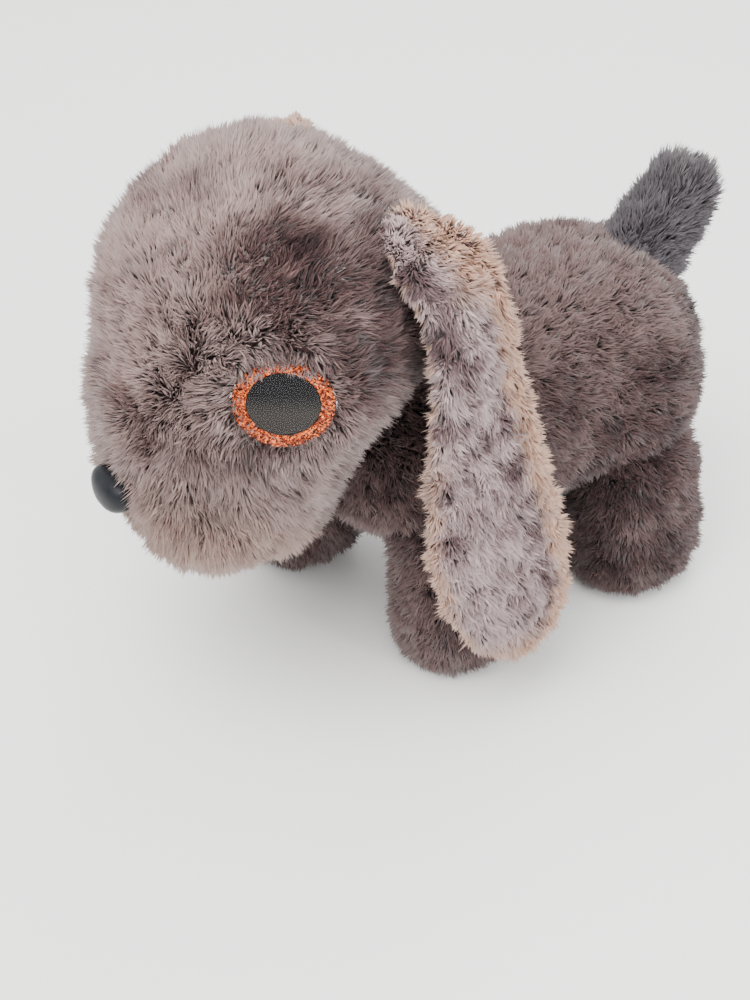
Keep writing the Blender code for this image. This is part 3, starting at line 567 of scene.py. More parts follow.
def growPile(name, skin, material, settings, part=None):
    # fibres of the pile over one skin, or over part of it, as a mesh of their own
    mesh = skin.data.copy()
    if part is not None:
        setAttribute(mesh, "cover", readAttribute(mesh, "cover") * part)
    grown = addObject(name, mesh)
    modifier = grown.modifiers.new("pile", "NODES")
    modifier.node_group = pileGrower
    inputs = [item for item in pileGrower.interface.items_tree if item.in_out == "INPUT"]
    sockets = {item.name: item.identifier for item in inputs}
    for title, value in settings.items():
        modifier[sockets[title]] = value
    modifier[sockets["Fibre Material"]] = material
    finishedMesh(grown)
    mesh = grown.data
    for extra in ("comb", "cover", "pile", "shade", "warmth"):
        if extra in mesh.attributes:
            mesh.attributes.remove(mesh.attributes[extra])
    co = points(mesh)
    co[:, 2] = np.maximum(co[:, 2], 0.0002)   # the fibres lie flat where the feet stand
    setPoints(mesh, co)
    print("pile", name, len(mesh.polygons), "faces")
    return grown


def growParts(prefix, skin, palette, settings, parts):
    # a large pile is grown as several pieces, each over its own share of the skin
    grown = []
    for number, (name, part) in enumerate(parts.items()):
        own = {**settings, "Seed": settings["Seed"] + number}
        grown.append(growPile(prefix + name, skin, pileMaterials[palette], own, part))
    return grown


def setLie(skin, comb, pile=None, cover=None, shade=None, warmth=None):
    # what the fibres read off their skin
    mesh = skin.data
    count = len(mesh.vertices)
    setAttribute(mesh, "comb", tangent(comb, normals(mesh)))
    given = {"pile": (pile, 1), "cover": (cover, 1), "shade": (shade, 0), "warmth": (warmth, 0)}
    for name, (values, usual) in given.items():
        setAttribute(mesh, name, np.full(count, usual) if values is None else values)


def tangent(direction, out):
    flat = direction - out * np.sum(direction * out, axis=1, keepdims=True)
    return flat / np.maximum(np.linalg.norm(flat, axis=1, keepdims=True), 1e-6)


def everywhere(mesh, direction):
    return np.tile(np.array(direction, float), (len(mesh.vertices), 1))


def insideOf(co, skin, depth):
    # which points lie deeper than depth inside another skin
    shape = bmesh.new()
    shape.from_mesh(skin.data)
    tree = BVHTree.FromBMesh(shape)
    shape.free()
    out = np.zeros(len(co), bool)
    for number, point in enumerate(co):
        near, normal, _, far = tree.find_nearest(Vector(point))
        out[number] = far > depth and (Vector(point) - near).dot(normal) < 0
    return out


def plush(skin, piles, node, body, blend=None):
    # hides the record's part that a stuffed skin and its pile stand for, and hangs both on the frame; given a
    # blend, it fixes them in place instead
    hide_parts(node)
    for piece in (skin, *piles):
        if blend:
            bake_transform(piece)
        else:
            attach(piece, body)


# head
head = {
    # height, half width, front, back of each ring
    "rings": [(59, 17, -98, -65), (63.5, 27.5, -107, -58.5), (71, 34.5, -112.5, -54.5),
              (82, 38.5, -115, -51.5), (94, 40.5, -114, -46), (104, 43, -112.5, -36),
              (116, 46, -110.5, -25), (130, 47, -108, -19), (142, 45, -104.5, -21.5),
              (153, 40, -98, -28.5), (162, 31.5, -89.5, -38.5), (168, 20, -79, -47)],
    "chin": (0, -82, 57),
    "crown": (0, -63, 171),
    "squareness": 2.3,
    "pileDepth": 3.8,
    "crownInset": 3.2, "crownFrom": 132, "crownTo": 160,
    "stuffingSwell": 1.4,
    # darker and paler places, mirrored on both sides: amount, place, and the two distances it fades between;
    # the two darker ones, under the ear where it lies against the head and just in front of it, are painted
    # shade
    "patches": [(-0.46, (45, -46, 138), 12, 40), (-0.16, (45, -58, 112), 10, 32),
                (0.26, (33, -94, 136), 2, 12), (0.14, (18, -109, 124), 4, 22)],
    # the dark parting above the eye shows mostly on the left
    "parting": [(-0.58, (29, -84, 153), 3, 23), (-0.34, (32, -73, 155), 3, 17)],
    "partingOnRight": 0.3,
    "jaw": (0.26, (18, -96, 68), 12, 34),
    "eye": (38.8, -84.6, 121.5),
    "eyeTurn": 57,
    "eyeRadius": 12.8,
    "nose": (0, -114.6, 83),
    "pile": {"Density": 4.8e6, "Length": 0.0074, "Thickness": 0.00030, "Lean": 0.75, "Tuft Size": 0.0075,
             "Tuft Strength": 0.62, "Stray": 0.28, "Curl": 0.5, "Patch Size": 0.022, "Seed": 3},
}


def eyePlace(side):
    sign = sides[side]
    turn = math.radians(head["eyeTurn"])
    x, y, z = head["eye"]
    return at(sign * x, y, z), Vector((sign * math.sin(turn), -math.cos(turn), 0))


def headSkin():
    rings = []
    for height, half, front, back in head["rings"]:
        outline = oval(half, (back - front) / 2, head["squareness"], 24)
        rings.append([at(x, (front + back) / 2 + y, height) for x, y in outline])
    mesh = loftMesh("head_skin", rings, at(*head["chin"]), at(*head["crown"]))
    skin = addObject("head_skin", mesh, backings["head"])
    smoothed(skin)
    high = ramp(points(skin.data)[:, 2], levelOf(head["crownFrom"]), levelOf(head["crownTo"]))
    pullIn(skin, (head["pileDepth"] + head["crownInset"] * high) * mm)
    puff(skin, head["stuffingSwell"] * mm)
    mesh = skin.data
    co, out = points(mesh), normals(mesh)
    setPoints(mesh, co + out * lumps(co, 0.03, 0.0018, 4).reshape(-1, 1))
    return skin


def fading(co, place, near, far):
    # 1 at a place, falling to 0 between two distances from it
    return 1 - ramp(np.linalg.norm(co - np.array(at(*place)), axis=1), near * mm, far * mm)


def patchOf(co, patch, sign):
    amount, (x, y, z), near, far = patch
    return amount * fading(co, (sign * x, y, z), near, far)


def combHead(skin):
    mesh = skin.data
    co, out = points(mesh), normals(mesh)
    away = tangent(co - np.array(at(0, -108, 98)), out)
    down = tangent(np.tile((0, 0.25, -1.0), (len(co), 1)), out)
    low = (0.55 * (1 - ramp(co[:, 2], levelOf(95), levelOf(140))))[:, None]
    comb = away * (1 - low) + down * low
    pile = np.ones(len(co))
    cover = np.ones(len(co))
    # paler towards the crown: partly paler fibre, partly painted light from above
    shade = 0.10 * ramp(co[:, 2], levelOf(150), levelOf(168)) - 0.03 + lumps(co, 0.008, 0.42, 12)
    warmth = np.zeros(len(co))
    for side, sign in sides.items():
        place, normal = eyePlace(side)
        rel = co - np.array(place)
        near = np.linalg.norm(rel, axis=1) < 0.035
        rel -= np.outer(rel @ np.array(normal), np.array(normal))
        far = np.linalg.norm(rel, axis=1)
        # the pile parts round the eye, and falls over its upper edge
        parted = np.where(near, 1 - ramp(far, 0.013, 0.026), 0)
        spread = np.where(rel[:, 2] > 0, 1 - 1.2 * ramp(rel[:, 2], 0.002, 0.010), 1)
        comb = comb * (1 - parted[:, None]) + tangent(rel, out) * (parted * spread)[:, None]
        pile *= np.where(near, 0.5 + 0.5 * ramp(far, 0.0125, 0.020), 1)
        cover *= np.where(near & (far < 0.0118), 0, 1)
        strength = 1 if sign > 0 else head["partingOnRight"]
        shade += strength * sum(patchOf(co, patch, sign) for patch in head["parting"])
        # the darker patches here are painted shade beside the ear
        shade += sum(patchOf(co, patch, sign) for patch in head["patches"])
        warmth += patchOf(co, head["jaw"], sign)
    # the pile lies short and close under the nose, and falls over it from above
    nose = np.array(at(*head["nose"]))
    far = np.linalg.norm((co - nose) * (0.75, 1, 1), axis=1)
    below = 1 - ramp(co[:, 2], nose[2] - 0.002, nose[2] + 0.003)
    pile *= 1 - 0.25 * below * (1 - ramp(far, 0.006, 0.017))
    comb *= (0.25 + 0.75 * np.maximum(ramp(far, 0.008, 0.018), 0.5 * (1 - below)))[:, None]
    cover *= np.where(far < 0.0045, 0, 1)
    setLie(skin, comb, pile, cover, shade, np.minimum(warmth, 0.3))


def seatEyes(skin):
    # the skin lies flat behind each eye
    mesh = skin.data
    co = points(mesh)
    for side in sides:
        place, normal = eyePlace(side)
        normal = np.array(normal)
        rel = co - np.array(place)
        out = rel @ normal
        far = np.linalg.norm(rel - np.outer(out, normal), axis=1)
        near = np.abs(out) < 0.02
        wanted = np.where(far < 0.0145, -0.0007, -0.0007 - 0.12 * (far - 0.0145))
        pull = np.where(near, 1 - ramp(far, 0.0145, 0.0215), 0)
        co += np.outer((wanted - out) * pull, normal)
    setPoints(mesh, co)


headShape = headSkin()
seatEyes(headShape)
combHead(headShape)
co = points(headShape.data)
middle = 1 - ramp(np.abs(co[:, 0]), 0.012, 0.020)
leftSide = np.where(co[:, 0] > 0, 1 - middle, 0)
headPiles = growParts("head_pile_", headShape, "head", head["pile"],
                      {"middle": middle, "left": leftSide, "right": 1 - middle - leftSide})
plush(headShape, headPiles, "head_plush", "head")
print("head made")


# body
body = {
    # distance along Y, half width, bottom, top of each ring
    "rings": [(-57.5, 13, 59, 83), (-50, 25, 49, 95), (-38, 34, 40.5, 104), (-22, 37.5, 37.5, 107.5),
              (0, 37.5, 37.5, 108.5), (20, 38.5, 36.5, 109.5), (40, 40, 34.5, 110),
              (56, 37.5, 37, 107.5), (69, 28, 46, 99), (76.5, 16, 57, 87)],
    "front": (0, -60.5, 71),
    "rear": (0, 79, 72),
    "squareness": 2.3,
    "pileDepth": 3.0,
    "stuffingSwell": 1.2,
    "haunchOut": 36, "haunchHeight": 66, "haunchSwell": 4.0,   # fuller over each hip
    "pile": {"Density": 4.6e6, "Length": 0.0058, "Thickness": 0.00034, "Lean": 0.55, "Tuft Size": 0.0052,
             "Tuft Strength": 0.75, "Stray": 0.34, "Curl": 0.7, "Patch Size": 0.02, "Seed": 11},
}
leg = {
    "hipHeight": 48, "soleHeight": 4, "out": 31,
    "hips": {"front": -24, "rear": 45},
    "halves": {"front": (18, 19), "rear": (19, 21.5)},
    # height above the sole, share of full size
    "rings": [(0, 0.74), (2.2, 0.89), (8, 1), (26, 1.0), (44, 1), (52, 0.88), (59, 0.58)],
    "footForward": {"front_right": (-7, -16)},
    "top": 19, "topIn": 9,            # its rounded top rises this far above the hip, and leans in
    "tuckIn": 0.36, "tuckFrom": 34,   # how much it leans in per millimetre above a height
    "pileDepth": 3.0,
    # painted shade: how much darker the legs are under the belly, the rear ones more
    "darker": {"front": 0.14, "rear": 0.24},
    "pile": {"Density": 4.6e6, "Length": 0.0055, "Thickness": 0.00034, "Lean": 0.6, "Tuft Size": 0.0052,
             "Tuft Strength": 0.7, "Stray": 0.32, "Curl": 0.7, "Patch Size": 0.018, "Seed": 21},
}
tail = {
    "root": (0, 64, 90), "lean": 32,
    # distance along the tail, radius, shift towards the head
    "rings": [(-6, 10.6, 4), (-2, 12.6, 4), (6, 13.8, 3.2), (15, 13.8, 2), (26, 13.0, 0.8),
              (34, 11.0, 0), (39, 7.0, 0)],
    "length": 41,
    "pileDepth": 3.6,
    "pile": {"Density": 5.2e6, "Length": 0.0066, "Thickness": 0.00034, "Lean": 0.95, "Tuft Size": 0.006,
             "Tuft Strength": 0.6, "Stray": 0.28, "Curl": 0.5, "Patch Size": 0.016, "Seed": 31},
}


def bodySkin():
    rings = []
    for along, half, bottom, top in body["rings"]:
        outline = oval(half, (top - bottom) / 2, body["squareness"], 24)
        rings.append([at(x, along, (bottom + top) / 2 + z) for x, z in outline])
    skin = addObject("body_skin", loftMesh("body_skin", rings, at(*body["front"]), at(*body["rear"])),
                     backings["body"])
    smoothed(skin)
    pullIn(skin, body["pileDepth"] * mm)
    puff(skin, body["stuffingSwell"] * mm)
    co, out = points(skin.data), normals(skin.data)
    swell = lumps(co, 0.028, 0.0016, 7)
    for hipY in leg["hips"].values():
        for sign in sides.values():
            haunch = np.array(at(sign * body["haunchOut"], hipY, body["haunchHeight"]))
            far = np.linalg.norm((co - haunch) * (1, 0.8, 1), axis=1)
            swell += body["haunchSwell"] * mm * (1 - ramp(far, 0.004, 0.026))
    setPoints(skin.data, co + out * swell.reshape(-1, 1))
    return skin


def legSkin(end, side):
    name = end + "_" + side
    halfX, halfY = leg["halves"][end]
    hipY = leg["hips"][end]
    forward = leg["footForward"].get(name, (0, 0))
    rings = []
    for height, share in leg["rings"]:
        level = leg["soleHeight"] + height
        lean = max(0.0, (leg["hipHeight"] - level) / (leg["hipHeight"] - leg["soleHeight"]))
        tuckIn = leg["tuckIn"] * max(0.0, height - leg["tuckFrom"])
        centre = (sides[side] * (leg["out"] - tuckIn) + forward[0] * lean, hipY + forward[1] * lean)
        outline = oval(halfX * share, halfY * share, 2.2, 20)
        rings.append([at(centre[0] + x, centre[1] + y, level) for x, y in outline])
    top = at(sides[side] * (leg["out"] - leg["topIn"]), hipY, leg["hipHeight"] + leg["top"])
    sole = at(sides[side] * leg["out"] + forward[0], hipY + forward[1], leg["soleHeight"])
    skin = addObject("leg_" + name + "_skin", loftMesh("leg_skin", rings, sole, top), backings["body"])
    smoothed(skin)
    pullIn(skin, leg["pileDepth"] * mm)
    co = points(skin.data)
    setPoints(skin.data, co + normals(skin.data) * lumps(co, 0.02, 0.0012, 9 + hipY).reshape(-1, 1))
    return skin


def tailSkin():
    turn = Matrix.Rotation(-math.radians(tail["lean"]), 4, "X")

    def place(x, y, z):
        return at(*tail["root"]) + turn @ (Vector((x, y, z)) * mm)

    rings = [[place(x, y - shift, along) for x, y in oval(radius, radius, 2, 20)]
             for along, radius, shift in tail["rings"]]
    mesh = loftMesh("tail_skin", rings, place(0, 0, tail["rings"][0][0] - 1), place(0, 0, tail["length"]))
    skin = addObject("tail_skin", mesh, backings["tail"])
    smoothed(skin)
    return pullIn(skin, tail["pileDepth"] * mm)


bodyShape = bodySkin()
legShapes = {(end, side): legSkin(end, side) for end in leg["hips"] for side in sides}
tailShape = tailSkin()

# no pile grows where one skin lies inside another
co, out = points(bodyShape.data), normals(bodyShape.data)
hidden = insideOf(co, headShape, 0.002) | insideOf(co, tailShape, 0.002)
for other in legShapes.values():
    hidden |= insideOf(co, other, 0.002)
# paler over the top of the back: partly its paler grey fibre tips, partly painted light from above
back = 0.50 * ramp(co[:, 2], levelOf(84), levelOf(106))
rump = 0.24 * ramp(co[:, 1], alongOf(30), alongOf(60))
comb = tangent(everywhere(bodyShape.data, (0, 1, -0.35)), out)
setLie(bodyShape, comb, cover=np.where(hidden, 0, 1), shade=back - 0.18 - rump + lumps(co, 0.009, 0.45, 14))
front = 1 - ramp(co[:, 1], alongOf(-22), alongOf(-14))
rear = ramp(co[:, 1], alongOf(30), alongOf(38))
bodyPiles = growParts("body_pile_", bodyShape, "body", body["pile"],
                      {"front": front, "middle": 1 - front - rear, "rear": rear})
plush(bodyShape, bodyPiles, "body_plush", "torso")

for (end, side), legShape in legShapes.items():
    name = "leg_" + end + "_" + side
    co = points(legShape.data)
    hidden = insideOf(co, bodyShape, 0.002)
    sole = 1 - ramp(co[:, 2], 0.001, 0.010)
    comb = everywhere(legShape.data, (0, 0.1, -1))
    # painted shade: darker under the belly, and darker still near the floor at the sole
    shade = lumps(co, 0.008, 0.3, 16) - leg["darker"][end] - 0.1 * sole
    setLie(legShape, comb, pile=1 - 0.55 * sole, cover=np.where(hidden, 0, 1), shade=shade)
    own = {**leg["pile"], "Seed": leg["pile"]["Seed"] + len(name)}
    legPile = growPile(name + "_pile", legShape, pileMaterials["body"], own)
    hip = at(sides[side] * leg["out"], leg["hips"][end], leg["hipHeight"])
    plush(legShape, [legPile], name + "_plush", name,
          (("torso", name), hip + Vector((0, 0, 0.016)), hip - Vector((0, 0, 0.012))))

co = points(tailShape.data)
direction = Matrix.Rotation(-math.radians(tail["lean"]), 3, "X") @ Vector((0, 0, 1))
along = (co - np.array(at(*tail["root"]))) @ np.array(direction)
# longer towards the tip, and short between the two tufts there
split = np.clip(np.abs(co[:, 0]) / 0.006, 0.15, 1)
setLie(tailShape, everywhere(tailShape.data, direction), pile=0.9 + 0.55 * ramp(along, 0.026, 0.036) * split,
       cover=np.where(insideOf(co, bodyShape, 0.002), 0, 1), shade=np.full(len(co), -0.05))
tailPile = growPile("tail_pile", tailShape, pileMaterials["tail"], tail["pile"])
plush(tailShape, [tailPile], "tail_plush", "tail",
      (("torso", "tail"), at(*tail["root"]) - direction * 0.003, at(*tail["root"]) + direction * 0.010))
print("body, legs and tail made")


# ears
ear = {
    # height, distance out, half width, half thickness, shift towards the back of each ring
    "rings": [(153.5, 28, 7, 5.5, -5), (152.3, 33, 9, 5, -4.8), (150.5, 38, 10.5, 4.6, -4.4),
              (148, 42.3, 11.5, 4.2, -4.2), (144, 46.2, 11, 3.9, -3.8), (136, 49.8, 9.6, 4, -3.0),
              (124, 51, 9.8, 4, -2.6), (112, 51.4, 11.6, 4.2, -3.0), (96, 52.2, 14.8, 4.4, -3.4),
              (80, 53.6, 18.0, 4.4, -4.0), (62, 55.2, 19.8, 4.4, -3.2), (45, 57, 18.6, 4.4, -2.2),
              (32.5, 58.4, 13, 4, -2), (27.5, 59, 7, 3, -1.5)],
    "middle": (-37, -21),
    "top": (24, -42, 153.5),
    "bottom": (59.3, -22.5, 26),
    # rim at the rear edge, and the groove before it: rise, place across the ear, width
    "ridges": ((1.6, 0.93, 0.16), (-1.0, 0.62, 0.14)),
    # two points on the seam between the ear and the head
    "seamTop": (31, -40, 156), "seamEnd": (46, -40, 144),
    "pileDepth": 2.9,
    "pile": {"Density": 5.4e6, "Length": 0.0062, "Thickness": 0.00030, "Lean": 0.75, "Tuft Size": 0.0058,
             "Tuft Strength": 0.85, "Stray": 0.34, "Curl": 0.9, "Patch Size": 0.011, "Seed": 41},
}


def earSkin(side):
    sign = sides[side]
    top, bottom = ear["rings"][0][0], ear["rings"][-1][0]
    front, back = ear["middle"]
    rings = []
    for height, away, half, thick, shift in ear["rings"]:
        middleY = shift + front + (back - front) * (top - height) / (top - bottom)
        ring = []
        for x, y in oval(thick - ear["pileDepth"] * 0.9, half, 2.6, 28):
            raised = sum(rise * math.exp(-((y / half - place) / width) ** 2)
                         for rise, place, width in ear["ridges"])
            ring.append(at(sign * (away + x + raised), middleY + y, height))
        rings.append(ring)
    ends = [at(sign * x, y, z) for x, y, z in (ear["top"], ear["bottom"])]
    return smoothed(addObject("ear_" + side + "_skin", loftMesh("ear_skin", rings, *ends), backings["ear"]))


def earPlaces(co):
    # how far down the ear and how far across it each point lies
    heights, _, halves, _, shifts = zip(*ear["rings"])
    front, back = ear["middle"]
    top, bottom = levelOf(heights[0]), levelOf(heights[-1])
    share = np.clip((top - co[:, 2]) / (top - bottom), 0, 1)
    ringShares = [(heights[0] - height) / (heights[0] - heights[-1]) for height in heights]
    middleY = alongOf(front) + (np.interp(share, ringShares, shifts) + (back - front) * share) * mm
    return share, (co[:, 1] - middleY) / (np.interp(share, ringShares, halves) * mm)


def combEar(shape, sign):
    mesh = shape.data
    co, out = points(mesh), normals(mesh)
    share, across = earPlaces(co)
    facing = out[:, 0] * sign
    edge = ramp(np.abs(across), 0.6, 1)
    comb = everywhere(mesh, (0, 0, -1)) + np.outer(across, (0, 0.7, 0)) * edge[:, None]
    # the lining's peach pile shows at the rear edge, the top and the bottom, and covers the inner face
    narrow = 1 - ramp(share, 0.2, 0.6)
    rim = np.maximum.reduce([ramp(across, 0.66 - 0.3 * narrow, 0.84 - 0.2 * narrow),
                             ramp(-across, 0.84, 1) * ramp(share, 0.35, 0.6),
                             ramp(share, 0.93, 1),
                             (1 - ramp(share, 0.06, 0.13)) * ramp(across, -0.5, 0.4),
                             0.8 * (facing < -0.2)])
    # painted shade: the outer face is darkened along the groove before the rim
    groove = np.exp(-((across - 0.56 + 0.3 * narrow) / 0.12) ** 2) * (facing > 0)
    groove *= (1 - ramp(share, 0.7, 0.95)) * ramp(share, 0.08, 0.17)
    shade = lumps(co, 0.0065, 0.9, 18) * (1 - rim) + 0.04 + 0.24 * rim - 0.70 * groove
    # darker in front near the top, then paler in front and darker behind
    shade -= 0.22 * (1 - ramp(share, 0.10, 0.34)) * (1 - ramp(across, -0.1, 0.5)) * (1 - rim)
    shade += 0.12 * ramp(share, 0.5, 0.8) * (1 - ramp(across, -0.5, 0.1))
    shade -= 0.16 * ramp(share, 0.55, 0.8) * ramp(across, -0.3, 0.3) * (1 - rim)
    cover = np.where(facing < -0.5, 0.75, 1 + 0.6 * edge)
    setLie(shape, comb, pile=(1 - 0.3 * edge) * (0.6 + 0.4 * ramp(share, 0, 0.07)), warmth=0.82 * rim,
           shade=shade, cover=np.where(insideOf(co, headShape, 0.003), 0, cover))


for side, sign in sides.items():
    name = "ear_" + side
    earShape = earSkin(side)
    combEar(earShape, sign)
    own = {**ear["pile"], "Seed": ear["pile"]["Seed"] + sign}
    earPile = growPile(name + "_pile", earShape, pileMaterials["ear"], own)
    seam = [at(sign * x, y, z) for x, y, z in (ear["seamTop"], ear["seamEnd"])]
    plush(earShape, [earPile], name, name, (("head", name), *seam))
print("ears made")


# eyes
eye = {
    "ringInner": 9.2,
    # height above the pupil's back, share of the radius
    "dome": [(1.45, 1.0), (2.0, 1.035), (2.5, 1.03), (3.4, 0.965), (4.6, 0.86), (5.8, 0.69),
             (6.7, 0.47), (7.15, 0.24)],
    "domeTop": 7.3,
    "pupil": (0.014, 0.014, 0.015),
    # painted reflection: the paler colour over the lower half of the pupil
    "paintedReflection": (0.034, 0.031, 0.029),
    "copper": [(0.06, 0.006, 0.002), (0.36, 0.040, 0.007), (0.90, 0.20, 0.04)],
    "clearIor": 1.14,
    "glitterSize": 0.00042,
}


def circle(place, axis, along, radius, steps):
    turn = axis.to_track_quat("Z", "Y").to_matrix()
    angles = [2 * math.pi * i / steps for i in range(steps)]
    around = [Vector((radius * math.cos(angle), radius * math.sin(angle), along)) for angle in angles]
    return [place + turn @ (point * mm) for point in around]


def sharpEdged(name, mesh, material):
    piece = addObject(name, mesh, material)
    mesh.shade_smooth()
    mesh.set_sharp_from_angle(angle=math.radians(38))
    return piece


def turned(name, profile, place, axis, material, steps=72):
    # a body of revolution about a line; the profile is (distance along, radius) from one pole to the other
    turn = axis.to_track_quat("Z", "Y").to_matrix()
    rings = [circle(place, axis, along, radius, steps) for along, radius in profile[1:-1]]
    poles = [place + turn @ Vector((0, 0, along * mm)) for along, _ in (profile[0], profile[-1])]
    return sharpEdged(name, loftMesh(name, rings, *poles), material)


def turnedRing(name, profile, place, axis, material, steps=72):
    # a ring from a closed profile of (distance along, radius)
    shape = bmesh.new()
    loops = [[shape.verts.new(point) for point in circle(place, axis, along, radius, steps)]
             for along, radius in profile]
    for lower, upper in zip(loops, loops[1:] + loops[:1]):
        joinLoops(shape, lower, upper)
    return sharpEdged(name, finishedShape(name, shape), material)


def glitterMaterial():
    material, tree, shader = newMaterial("copperGlitter", 0.28, 0.85)
    cells = addNode(tree, "ShaderNodeTexVoronoi", Scale=1 / eye["glitterSize"],
                    Vector=addNode(tree, "ShaderNodeTexCoord").outputs["Object"])
    flakes = cells.outputs["Color"]
    tone = addNode(tree, "ShaderNodeSeparateColor", flakes).outputs[0]
    dark, middle, bright = eye["copper"]
    give(shader.inputs["Base Color"], addRamp(tree, tone, [(0.15, dark), (0.55, middle), (0.92, bright)]))
    # each flake lies at its own tilt
    tilt = addNode(tree, "ShaderNodeVectorMath", flakes, (0.5, 0.5, 0.5), operation="SUBTRACT").outputs[0]
    lean = addNode(tree, "ShaderNodeVectorMath", tilt, operation="SCALE", Scale=1.3).outputs[0]
    face = addNode(tree, "ShaderNodeNewGeometry").outputs["Normal"]
    total = addNode(tree, "ShaderNodeVectorMath", face, lean, operation="ADD").outputs[0]
    unit = addNode(tree, "ShaderNodeVectorMath", total, operation="NORMALIZE").outputs[0]
    give(shader.inputs["Normal"], unit)
    return material


def pupilMaterial(side):
    # smoked disc, paler over its lower half: a painted reflection of the paler surroundings
    material, tree, shader = newMaterial("smokedPupil_" + side, 0.4)
    shader.inputs["Specular IOR Level"].default_value = 0.0
    place = addNode(tree, "ShaderNodeTexCoord").outputs["Object"]
    mapping = addNode(tree, "ShaderNodeMapping", place, Location=-eyePlace(side)[0])
    split = addNode(tree, "ShaderNodeSeparateXYZ", mapping.outputs["Vector"])
    level = mapRange(tree, split.outputs["Z"], 0.006, -0.006)
    colour = mixColours(tree, mapRange(tree, level, 0.25, 0.7), eye["pupil"], eye["paintedReflection"])
    give(shader.inputs["Base Color"], colour)
    return material


def clearMaterial():
    # clear moulded plastic: what lies behind shows, and its surface mirrors the lamps
    material, tree, shader = newMaterial("clearDome")
    through = addNode(tree, "ShaderNodeBsdfTransparent")
    mirror = addNode(tree, "ShaderNodeBsdfGlossy", Roughness=0.04)
    share = addNode(tree, "ShaderNodeFresnel", IOR=eye["clearIor"])
    mix = addNode(tree, "ShaderNodeMixShader", *(node.outputs[0] for node in (share, through, mirror)))
    give(tree.nodes["Material Output"].inputs["Surface"], mix.outputs[0])
    tree.nodes.remove(shader)
    return material


glitter = glitterMaterial()
clearPlastic = clearMaterial()
for side in sides:
    place, out = eyePlace(side)
    radius, hole = head["eyeRadius"], eye["ringInner"]
    discProfile = [(-0.9, 0), (-0.9, radius), (-0.5, radius + 0.6), (0, radius + 0.5), (0.05, hole - 0.1),
                   (0.9, hole - 0.15), (1.1, hole - 0.5), (1.15, 0)]
    ringProfile = [(0.1, hole), (0.95, hole), (1.25, hole + 0.35), (1.32, radius - 1.2),
                   (1.15, radius - 0.25), (0.8, radius), (0.1, radius)]
    domeProfile = [(eye["dome"][0][0], 0), *((height, share * radius) for height, share in eye["dome"]),
                   (eye["domeTop"], 0)]
    pupil = turned("eye_" + side + "_disc", discProfile, place, out, pupilMaterial(side))
    ring = turnedRing("eye_" + side + "_sparkle_ring", ringProfile, place, out, glitter)
    dome = turned("eye_" + side + "_lens", domeProfile, place, out, clearPlastic, 96)
    for piece, node, slot in ((pupil, "pupil", "eye_black"), (ring, "glitter_ring", "eye_glitter"),
                              (dome, "dome", "eye_clear")):
        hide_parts("eye_" + side + "_" + node)
        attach(piece, "head")
print("eyes made")

# nose
nose = {
    "halfWidth": 8.2, "halfHeight": 5.6,
    # distance out, share of full size
    "rings": [(4.5, 0.55), (2.5, 0.86), (0.6, 0.99), (-1.4, 1.02), (-3.2, 0.93), (-4.6, 0.74), (-5.5, 0.42)],
    "back": 5.2, "tip": -5.9,
    "topFlare": 0.22,
    "colour": (0.005, 0.006, 0.008),
}


def noseMaterial():
    material, tree, shader = newMaterial("satinNose", 0.34)
    shader.inputs["Specular IOR Level"].default_value = 0.18
    dark = nose["colour"]
    useGrain(tree, shader, {"Size": 0.0024, "Dark": dark, "Light": scaledColour(dark, 2.2),
                            "Low": 0.3, "High": 0.75, "Smoothest": 0.3, "Roughest": 0.5,
                            "Bump Strength": 0.15})
    return material


noseAt = at(*head["nose"])
noseRings = []
for along, share in nose["rings"]:
    outline = oval(nose["halfWidth"] * share, nose["halfHeight"] * share, 2.4, 32)
    flared = [(x * (1 + nose["topFlare"] * z / nose["halfHeight"]), z) for x, z in outline]
    noseRings.append([noseAt + Vector((x, along, z)) * mm for x, z in flared])
poles = [noseAt + Vector((0, along, 0)) * mm for along in (nose["back"], nose["tip"])]
noseShape = addObject("nose_button", loftMesh("nose_button", noseRings, *poles), noseMaterial())
smoothed(noseShape, 1)
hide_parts("nose")
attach(noseShape, "head")
print("nose made")


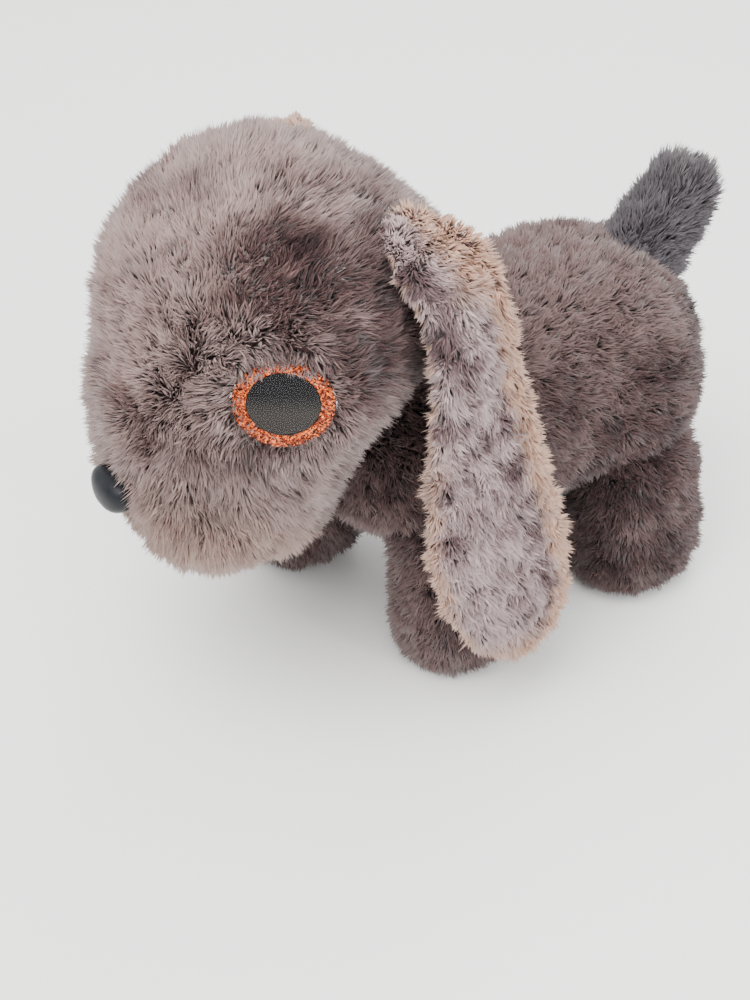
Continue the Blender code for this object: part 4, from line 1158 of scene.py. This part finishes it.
# plain moulded, metal and fibre surfaces of the working parts inside
inner = {
    # finish of each of the record's slots: kind, colour, roughness, grain size in metres, depth of its bump
    "white_plastic": ("moulded", (0.62, 0.61, 0.57), 0.42, 0.0012, 0.12),
    "grey_plastic": ("moulded", (0.16, 0.165, 0.18), 0.48, 0.0012, 0.12),
    "black_plastic": ("moulded", (0.012, 0.012, 0.013), 0.40, 0.0010, 0.12),
    "speaker_paper": ("moulded", (0.022, 0.021, 0.020), 0.85, 0.0006, 0.3),
    "stuffing": ("moulded", (0.78, 0.78, 0.76), 0.95, 0.0020, 0.6),
    "steel": ("metal", (0.56, 0.56, 0.58), 0.30, 0.0004, 0.08),
    "brass": ("metal", (0.72, 0.50, 0.20), 0.28, 0.0004, 0.08),
    "battery_wrap": ("sleeve", (0.03, 0.07, 0.16), 0.30, 0.0010, 0.04),
    "board_green": ("board", (0.010, 0.090, 0.035), 0.35, 0.0014, 0.1),
}
sleeveBand = {"spacing": 0.03, "colour": (0.55, 0.56, 0.58)}


def innerMaterial(name, kind, colour, roughness, grain, bumpStrength):
    material, tree, shader = newMaterial(name, roughness, 1.0 if kind == "metal" else 0.0)
    vector = addNode(tree, "ShaderNodeTexCoord").outputs["Object"]
    if kind == "metal":
        # turned and drawn metal shows fine lines along its length
        vector = addNode(tree, "ShaderNodeMapping", vector, Scale=(0.1, 1.0, 1.0)).outputs["Vector"]
    grainOut = useGrain(tree, shader, {"Vector": vector, "Size": grain, "Dark": scaledColour(colour, 0.86),
                                       "Light": scaledColour(colour, 1.1), "Smoothest": 0.85 * roughness,
                                       "Roughest": min(1.0, 1.15 * roughness), "Bump Strength": bumpStrength})
    tone = grainOut["Colour"]
    if kind == "board":
        # copper tracks under the lacquer
        tracks = addNode(tree, "ShaderNodeTexBrick", Scale=1 / grain, Vector=vector, **{"Mortar Size": 0.09})
        tone = mixColours(tree, tracks.outputs["Fac"], tone, scaledColour(colour, 2.4))
    if kind == "sleeve":
        # a pale band round the printed sleeve
        wave = addNode(tree, "ShaderNodeTexWave", Scale=1 / sleeveBand["spacing"], Vector=vector,
                       bands_direction="Y")
        tone = mixColours(tree, mapRange(tree, wave.outputs["Fac"], 0.88, 0.92), tone, sleeveBand["colour"])
    give(shader.inputs["Base Color"], tone)
    return material


innerMaterials = {name: innerMaterial(name + "Inside", *finish) for name, finish in inner.items()}
for entry in frame["record"]["subparts"]:
    slotName = entry["material_slot"]
    if slotName not in innerMaterials:
        continue
    node = nodes[entry["node"]]
    if not node.material_slots:
        node.data.materials.append(innerMaterials[slotName])
    for slotOfNode in node.material_slots:
        slotOfNode.material = innerMaterials[slotName]
print("inner parts finished")
